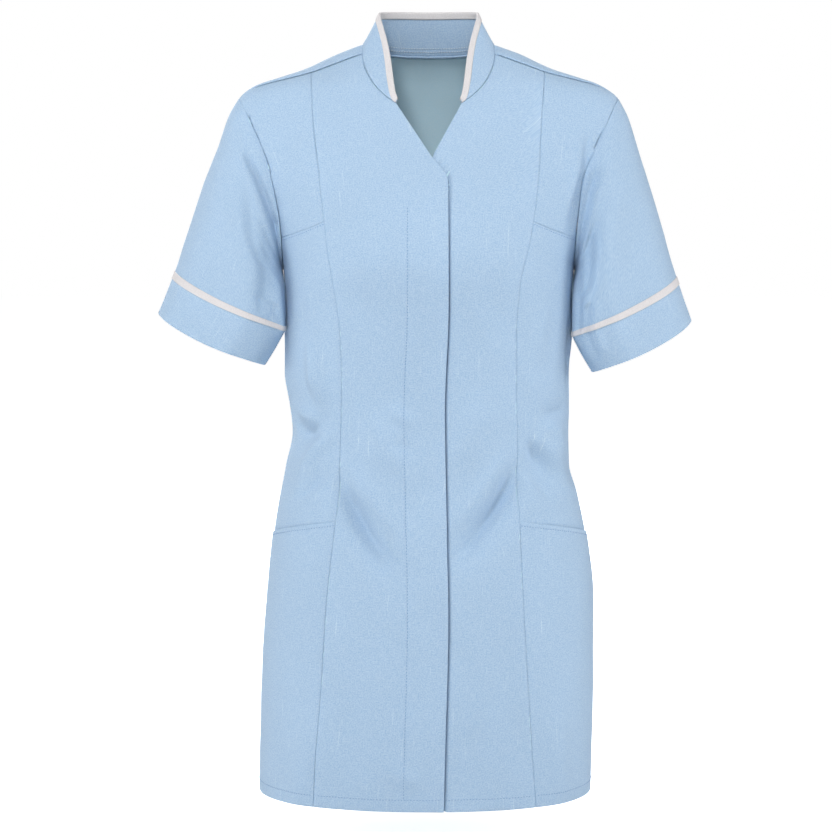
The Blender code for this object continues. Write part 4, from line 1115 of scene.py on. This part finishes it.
for side, word in SIDES:
    places = upper_side_places(side)
    points = torso(side, places[..., 0], places[..., 1])
    points = drawn_back(points, SEAM_HALF_GAP, SHOULDER_GAP, SEAM_HALF_GAP, SEAM_HALF_GAP)
    cloth = (points, grid_normals(points))
    for edge in ("first row", "last row", "last column", "first column"):
        cloth = turned_in(cloth, edge, ALLOWANCE, ALLOWANCE_RADIUS)
    upper_side = sewn(f"upper_side_front_{word}_cloth", cloth, blue_cloth, blue_inside_painted_light)
    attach(upper_side, "root")
    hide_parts(f"upper_side_front_{word}")

    places = side_front_places(side)
    below_mouth = places[SKIRT_ROWS, :, 1] + UNDER_POCKET_ABOVE_MOUTH - places[..., 1]
    under = ease(below_mouth / UNDER_POCKET_RUN)
    points = torso(side, places[..., 0], places[..., 1], -UNDER_POCKET * under)
    points = drawn_back(points, 0.0, *[SEAM_HALF_GAP] * 3)
    side_front = sewn(f"side_front_{word}_cloth", all_edges_turned(points), blue_cloth, blue_inside_painted_light)
    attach(side_front, "root")
    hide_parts(f"side_front_{word}")

    lower = places[: SKIRT_ROWS + 1]
    lap = pocket_lap(SIDE_COLUMNS + 1)
    points = torso(side, lower[..., 0], lower[..., 1], lap)
    points = drawn_back(points, 0.0, 0.0, SEAM_HALF_GAP, SEAM_HALF_GAP)
    cloth = (points, grid_normals(points))
    cloth = turned_in(cloth, "first row", HEM_TURN_UP, HEM_RADIUS)
    cloth = turned_in(cloth, "last row", MOUTH_TURN, MOUTH_RADIUS)
    for edge in ("last column", "first column"):
        cloth = turned_in(cloth, edge, POCKET_ALLOWANCE, ALLOWANCE_RADIUS)
    pocket = sewn(f"pocket_{word}_cloth", cloth, blue_cloth, blue_inside_painted_light, POCKET_CLOTH)
    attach(pocket, "root")
    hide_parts(f"pocket_{word}")

    seam_x, seam_height = bust_seam(side)
    stitch_height = seam_height - BUST_STITCH_BELOW
    around = around_at(side, seam_x, stitch_height)
    torso_stitches(f"bust_seam_stitches_{word}", side, around, stitch_height)
    mouth = places[SKIRT_ROWS]
    torso_stitches(f"pocket_mouth_stitches_{word}", side, mouth[:, 0], mouth[:, 1] - MOUTH_STITCH, lap)
    hem_height = HEM + HEM_STITCH
    seam_around = float(front_seam_around(side, hem_height))
    start = float(around_at(side, closing_x(side, hem_height), hem_height))
    end = seam_around - HEM_STITCH_FROM_SEAM
    front_around = np.linspace(start + HEM_STITCH_FROM_SEAM, end, STITCH_STEPS)
    lap = lap_of(side, from_centre(side, front_around, hem_height), hem_height)
    torso_stitches(f"hem_stitches_front_{word}", side, front_around, hem_height, lap)
    start = seam_around + HEM_STITCH_FROM_SEAM
    side_around = np.linspace(start, 1 - HEM_STITCH_FROM_SEAM, STITCH_STEPS)
    torso_stitches(f"hem_stitches_side_{word}", side, side_around, hem_height, pocket_lap(STITCH_STEPS))
    end = 2 - HEM_STITCH_FROM_CENTRE_BACK
    back_around = np.linspace(1 + HEM_STITCH_FROM_SEAM, end, STITCH_STEPS)
    torso_stitches(f"hem_stitches_back_{word}", side, back_around, hem_height)


# The stand collar: two layers of the blue cloth around the neck, open in front, with two rows of
# stitches inside above its foot. An off-white strip is folded over its top and front edges.
COLLAR_THICKNESS = 0.0013
COLLAR_FOOT_GAP = 0.0006
COLLAR_LAP_FROM = -0.010
COLLAR_LAP_RUN = 0.020
COLLAR_FOOT_LAP = 0.0012
COLLAR_FOOT_OUT = 0.0011
COLLAR_FOOT_RUN = 0.009
COLLAR_ROWS = 14
BAND_WIDTH = 0.0073
BAND_CLOTH = 0.00045
BAND_ABOVE_SEAM = 0.0003
BAND_END_SHARE = 0.80
BAND_END_RUN = 0.045
BAND_END_DEPTH = 0.7
BAND_END_DEPTH_RUN = 0.006
BAND_HALF_DEPTH = 0.00125
BAND_TURN_ABOVE_FOOT = (0.0009, 0.0001)
BAND_TURN_INSIDE = (0.0004, 0.0003)
BAND_LEG_STEPS = 5
BAND_FOLD_STEPS = 4
COLLAR_UNDER_BAND = 0.0016
NARROWEST_COLLAR = 0.0022
COLLAR_STITCH_ROWS = (0.0042, 0.0078)
COLLAR_STITCH_SUNK = 0.0003
COLLAR_STITCH_CLEAR = 0.004
COLLAR_STITCH_PITCH = 0.0028
COLLAR_STITCH_THREAD = 0.0010

# The collar's free edge. Columns: share of the neck seam, from centre, behind the sides, height.
COLLAR_EDGE = (
    (0.000, 0.0316, -0.0600, -0.0255),
    (0.069, 0.0340, -0.0560, -0.0180),
    (0.144, 0.0360, -0.0470, -0.0050),
    (0.226, 0.0385, -0.0340, 0.0140),
    (0.324, 0.0430, -0.0190, 0.0370),
    (0.410, 0.0475, -0.0080, 0.0530),
    (0.483, 0.0500, 0.0010, 0.0620),
    (0.557, 0.0505, 0.0110, 0.0665),
    (0.655, 0.0465, 0.0240, 0.0685),
    (0.743, 0.0385, 0.0330, 0.0695),
    (0.835, 0.0260, 0.0395, 0.0700),
    (0.918, 0.0130, 0.0425, 0.0700),
    (1.000, 0.0000, 0.0435, 0.0700),
)
collar_edge_at = curve_through(COLLAR_EDGE)
COLLAR_COLUMNS = 60


def neck_seam(side):
    """Points of half of the neck seam, from the collar's end to the centre back."""
    front_x, front_height = neck_front_at(np.linspace(0, 1, COLLAR_COLUMNS + 1)).T
    front = torso(side, around_at(side, front_x, front_height), front_height)
    back_x, back_y = neck_back_at(np.linspace(0, 1, COLLAR_COLUMNS + 1)[1:]).T
    back_height = height_behind(side, back_x, back_y)
    behind = torso(side, around_at(side, back_x, back_height, back_y > 0), back_height)
    return np.concatenate((front, behind))


seam_halves = []
edge_halves = []
for side, _ in SIDES:
    seam = neck_seam(side)
    lengths = run_along(seam)
    seam_halves.append(seam)
    edge_halves.append(collar_edge_at(lengths / lengths[-1]) * np.array((side, 1.0, 1.0)))
neck_line = np.concatenate((seam_halves[0], seam_halves[1][-2::-1]))
free_line = np.concatenate((edge_halves[0], edge_halves[1][-2::-1]))
reach = np.linalg.norm(free_line - neck_line, axis=1)
collar_up = (free_line - neck_line) / reach[:, None]
collar_top = np.maximum(reach - COLLAR_UNDER_BAND, NARROWEST_COLLAR)
shares = np.linspace(0, 1, COLLAR_ROWS + 1)
behind = ease((neck_line[:, 1] - COLLAR_LAP_FROM) / COLLAR_LAP_RUN)
foot_rise = COLLAR_FOOT_GAP - (COLLAR_FOOT_GAP + COLLAR_FOOT_LAP) * behind
rises = collar_top * shares[:, None] + foot_rise * (1 - shares[:, None])
collar_points = neck_line + collar_up * rises[..., None]
collar_normals = grid_normals(collar_points)
foot = behind * np.maximum(1 - (rises + COLLAR_FOOT_LAP) / COLLAR_FOOT_RUN, 0.0)
collar_points = collar_points + collar_normals * foot[..., None] * COLLAR_FOOT_OUT
collar = sewn("collar_cloth", (collar_points, collar_normals), blue_cloth, blue_cloth, COLLAR_THICKNESS)
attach(collar, "root")
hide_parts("collar")

inside = -collar_normals[0]
for number, rise in enumerate(COLLAR_STITCH_ROWS, 1):
    path = neck_line + collar_up * rise + inside * (COLLAR_THICKNESS / 2 - COLLAR_STITCH_SUNK)
    wide = reach > rise + BAND_WIDTH + COLLAR_STITCH_CLEAR
    stitches(f"collar_stitches_{number}", path[wide], inside[wide], pale_thread_paint,
             COLLAR_STITCH_PITCH, COLLAR_STITCH_THREAD)

# Across half of the band, from its turned-in edge up the leg and round to the top of the fold: how far
# below the free edge and how far out. The other half is the same, inside.
fold_angles = np.linspace(0, math.pi / 2, BAND_FOLD_STEPS + 1)
leg_below = np.linspace(BAND_WIDTH, BAND_HALF_DEPTH, BAND_LEG_STEPS + 1)[:-1]
fold_below = BAND_HALF_DEPTH * (1 - np.sin(fold_angles))
half_below = np.concatenate((BAND_WIDTH - np.array(BAND_TURN_ABOVE_FOOT), leg_below, fold_below))
leg_out = np.full(BAND_LEG_STEPS, BAND_HALF_DEPTH)
fold_out = BAND_HALF_DEPTH * np.cos(fold_angles)
half_out = np.concatenate((BAND_HALF_DEPTH - np.array(BAND_TURN_INSIDE), leg_out, fold_out))
band_below = np.concatenate((half_below, half_below[-2::-1]))[:, None, None]
band_out = np.concatenate((half_out, -half_out[-2::-1]))[:, None, None]
from_end = run_along(free_line)
from_end = np.minimum(from_end, from_end[::-1])
full_width = BAND_END_SHARE + (1 - BAND_END_SHARE) * ease(from_end / BAND_END_RUN)
full_depth = BAND_END_DEPTH + (1 - BAND_END_DEPTH) * ease(from_end / BAND_END_DEPTH_RUN)
band_share = np.minimum(full_width, (reach - BAND_ABOVE_SEAM) / BAND_WIDTH)[:, None]
band_points = free_line - collar_up * band_share * band_below
band_points = band_points + collar_normals[-1] * full_depth[:, None] * band_out
band_normals = np.broadcast_to(collar_up, band_points.shape)
band = sewn("collar_binding_cloth", (band_points, band_normals), band_cloth, band_cloth, BAND_CLOTH)
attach(band, "root")
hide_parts("collar_binding")


# The sleeves: short and set in, one piece each, with a cuff of doubled cloth below and a flat
# off-white strip over the join. The inner side is set forward, where it laps the body's side a little.
# Columns: along, outer x, outer z, inner x, inner z, depth, sag, outer y, inner y.
SLEEVE_SECTION = (
    (0.00, TIP_HALF_WIDTH, SHOULDER_TIP, 0.1520, UNDERARM, 0.0520, 0.000, 0.000, 0.000),
    (0.12, 0.2060, -0.0400, 0.1520, -0.1985, 0.0520, 0.000, 0.000, -0.006),
    (0.30, 0.2180, -0.0730, 0.1495, -0.2080, 0.0510, 0.001, 0.001, -0.020),
    (0.50, 0.2315, -0.1080, 0.1475, -0.2200, 0.0490, 0.004, 0.002, -0.032),
    (0.75, 0.2480, -0.1560, 0.1470, -0.2370, 0.0460, 0.007, 0.003, -0.038),
    (1.00, 0.2645, -0.2040, 0.1470, -0.2580, 0.0440, 0.010, 0.004, -0.038),
    (1.08, 0.2705, -0.2190, 0.1530, -0.2710, 0.0440, 0.011, 0.004, -0.037),
    (1.22, 0.2810, -0.2440, 0.1680, -0.2960, 0.0430, 0.012, 0.004, -0.032),
)
CUFF_HEM = 1.22
CUFF_TURN_UP = 0.021
STRIP_HALF_SPAN = 0.0195
STRIP_TURN = 0.0025
STRIP_RADIUS = 0.0003
STRIP_LAP = 0.0011
JOIN_HALF_GAP = 0.0022
ARMHOLE_FADE = 0.45
ARMHOLE_GAP = 0.0009
LEFT_SLEEVE_DROP = 0.006
SAG_SHARE = 0.46
SAG_OUTWARD = 0.5
SLEEVE_FOLD_SHARE = 1.4
SLEEVE_GIRTH = 0.38
SLEEVE_LENGTH = 0.20
SLEEVE_ROWS = 60
CUFF_ROWS = 14
STRIP_ROWS = 6

# Folds of the sleeves. Columns: side, or 0 for both, from turn and along, to turn and along, flank,
# rise. A turn is 0 at the outer end, 0.25 in front and 0.5 at the inner end.
SLEEVE_FOLDS = (
    (-1, 0.18, 0.12, 0.33, 0.08, 0.0060, -0.0034),
    (-1, 0.33, 0.06, 0.45, 0.10, 0.0060, -0.0030),
    (-1, 0.19, 0.17, 0.36, 0.15, 0.0090, 0.0022),
    (-1, 0.25, 0.30, 0.31, 0.50, 0.0120, -0.0026),
    (-1, 0.35, 0.36, 0.36, 0.80, 0.0130, -0.0026),
    (-1, 0.31, 0.55, 0.30, 1.20, 0.0140, 0.0018),
    (-1, 0.42, 0.50, 0.44, 1.00, 0.0080, 0.0022),
    (-1, 0.21, 0.60, 0.19, 1.20, 0.0160, -0.0014),
    (-1, 0.10, 0.35, 0.12, 1.20, 0.0180, 0.0014),
    (-1, 0.40, 0.80, 0.41, 0.90, 0.0040, -0.0012),
    (-1, 0.34, 0.82, 0.35, 0.92, 0.0040, -0.0010),
    (1, 0.24, 0.07, 0.40, 0.08, 0.0060, -0.0026),
    (1, 0.22, 0.15, 0.38, 0.16, 0.0090, 0.0020),
    (1, 0.34, 0.25, 0.38, 0.62, 0.0120, -0.0030),
    (1, 0.42, 0.42, 0.43, 0.98, 0.0080, -0.0026),
    (1, 0.28, 0.35, 0.29, 1.20, 0.0140, 0.0018),
    (1, 0.20, 0.45, 0.22, 1.20, 0.0160, -0.0016),
    (1, 0.12, 0.30, 0.11, 1.20, 0.0180, 0.0014),
    (1, 0.38, 0.80, 0.40, 1.14, 0.0050, -0.0016),
    (1, 0.34, 0.84, 0.36, 1.12, 0.0050, 0.0012),
    (0, 0.60, 0.10, 0.64, 0.80, 0.0120, -0.0028),
    (0, 0.70, 0.10, 0.69, 1.15, 0.0160, 0.0022),
    (0, 0.79, 0.20, 0.80, 1.20, 0.0160, -0.0020),
    (0, 0.89, 0.25, 0.88, 1.20, 0.0180, 0.0014),
    (-1, 0.64, 0.45, 0.72, 0.85, 0.0090, -0.0016),
    (1, 0.66, 0.30, 0.73, 0.70, 0.0090, 0.0016),
)
sleeve_section_at = curve_through(SLEEVE_SECTION)


def sleeve_section(side, along):
    """Centre, long half axis, half depth and sag of the sleeve at these shares of its length."""
    columns = np.moveaxis(sleeve_section_at(along), -1, 0)
    outer_x, outer_z, inner_x, inner_z, depth, sag, outer_y, inner_y = columns
    drop = along * (LEFT_SLEEVE_DROP if side > 0 else 0.0)
    outer = together(side * (outer_x - drop), outer_y, outer_z - drop)
    inner = together(side * inner_x, inner_y, inner_z - drop)
    return (outer + inner) / 2, (outer - inner) / 2, depth, sag


def sleeve_fold_rise(side, turn, along):
    """How far the folds push the sleeve out here."""
    rise = np.zeros(np.broadcast_shapes(turn.shape, along.shape))
    size = np.array((SLEEVE_GIRTH, SLEEVE_LENGTH))
    for fold_side, from_turn, from_along, to_turn, to_along, flank, height in SLEEVE_FOLDS:
        if fold_side in (0, side):
            run = np.array((to_turn - from_turn, to_along - from_along)) * size
            across = ((turn - from_turn + 0.5) % 1.0 - 0.5) * size[0]
            _, near = one_fold(across, (along - from_along) * size[1], run, flank)
            rise = rise + height * SLEEVE_FOLD_SHARE * near
    return rise


def armhole_loop(side):
    """Points around the armhole, from the underarm by way of the back, the tip and the front."""
    behind = torso(side, around_at(side, armhole_x(ARMHOLE_BACK, True), ARMHOLE_BACK, True), ARMHOLE_BACK)
    heights = np.concatenate((ARMHOLE_UPPER[-2::-1], ARMHOLE_LOWER[-2::-1]))
    front = torso(side, around_at(side, armhole_x(heights, False), heights), heights)
    loop = np.concatenate((behind, front))
    loop[-1] = loop[0]
    return loop


def sleeve_points(side, start, end, rows, out=0.0):
    """A stretch of the sleeve, as rows from its start to its end of points around it."""
    loop = armhole_loop(side)
    first, first_axis, first_depth, _ = sleeve_section(side, np.array(0.0))
    from_first = loop - first
    lengthwise = from_first @ first_axis / np.dot(first_axis, first_axis)
    angle = np.arctan2(-from_first[:, 1] / first_depth, lengthwise)
    turn = (angle / (2 * math.pi)) % 1.0
    along = np.linspace(start, end, rows + 1)[:, None]
    centre, axis, depth, sag = sleeve_section(side, along)
    out = out + sleeve_fold_rise(side, turn[None], along)
    grow = 1 + out / np.linalg.norm(axis, axis=-1)
    sine, cosine = np.sin(angle)[None], np.cos(angle)[None]
    points = centre + axis * (cosine * grow)[..., None]
    sagging = -sag * sine * np.abs(sine) * (1 + SAG_OUTWARD * cosine) * SAG_SHARE
    points = points + together(0.0, -(depth + out) * sine, sagging)
    fade = np.maximum(1 - along / ARMHOLE_FADE, 0.0)[..., None] ** 2
    base = first + first_axis * np.cos(angle)[:, None]
    base = base + together(0.0, -first_depth * np.sin(angle), 0.0)
    points = points + (loop - base)[None] * fade
    normals = grid_normals(points, tube=True)
    return points + normals * (cloth_wave(points) * (1 - fade[..., 0]))[..., None], normals


for side, word in SIDES:
    points, normals = sleeve_points(side, 0.0, 1.0 - JOIN_HALF_GAP, SLEEVE_ROWS)
    points = drawn_back(points, ARMHOLE_GAP)
    cloth = turned_in((points, normals), "first row", ALLOWANCE, ALLOWANCE_RADIUS)
    cloth = turned_in(cloth, "last row", ALLOWANCE, ALLOWANCE_RADIUS)
    sleeve = sewn(f"sleeve_{word}_cloth", cloth, blue_cloth, blue_inside_painted_light, tube=True)
    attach(sleeve, "root")
    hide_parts(f"sleeve_{word}")

    cloth = sleeve_points(side, 1.0 + JOIN_HALF_GAP, CUFF_HEM, CUFF_ROWS)
    cloth = turned_in(cloth, "first row", ALLOWANCE, ALLOWANCE_RADIUS)
    cloth = turned_in(cloth, "last row", CUFF_TURN_UP, HEM_RADIUS)
    cuff = sewn(f"cuff_{word}_cloth", cloth, blue_cloth, blue_cloth, tube=True)
    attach(cuff, "root")
    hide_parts(f"cuff_{word}")

    cloth = sleeve_points(side, 1.0 - STRIP_HALF_SPAN, 1.0 + STRIP_HALF_SPAN, STRIP_ROWS, STRIP_LAP)
    for edge in ("first row", "last row"):
        cloth = turned_in(cloth, edge, STRIP_TURN, STRIP_RADIUS)
    strip = sewn(f"sleeve_piping_{word}_cloth", cloth, band_cloth, band_cloth, BAND_CLOTH, tube=True)
    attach(strip, "root")
    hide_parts(f"sleeve_piping_{word}")
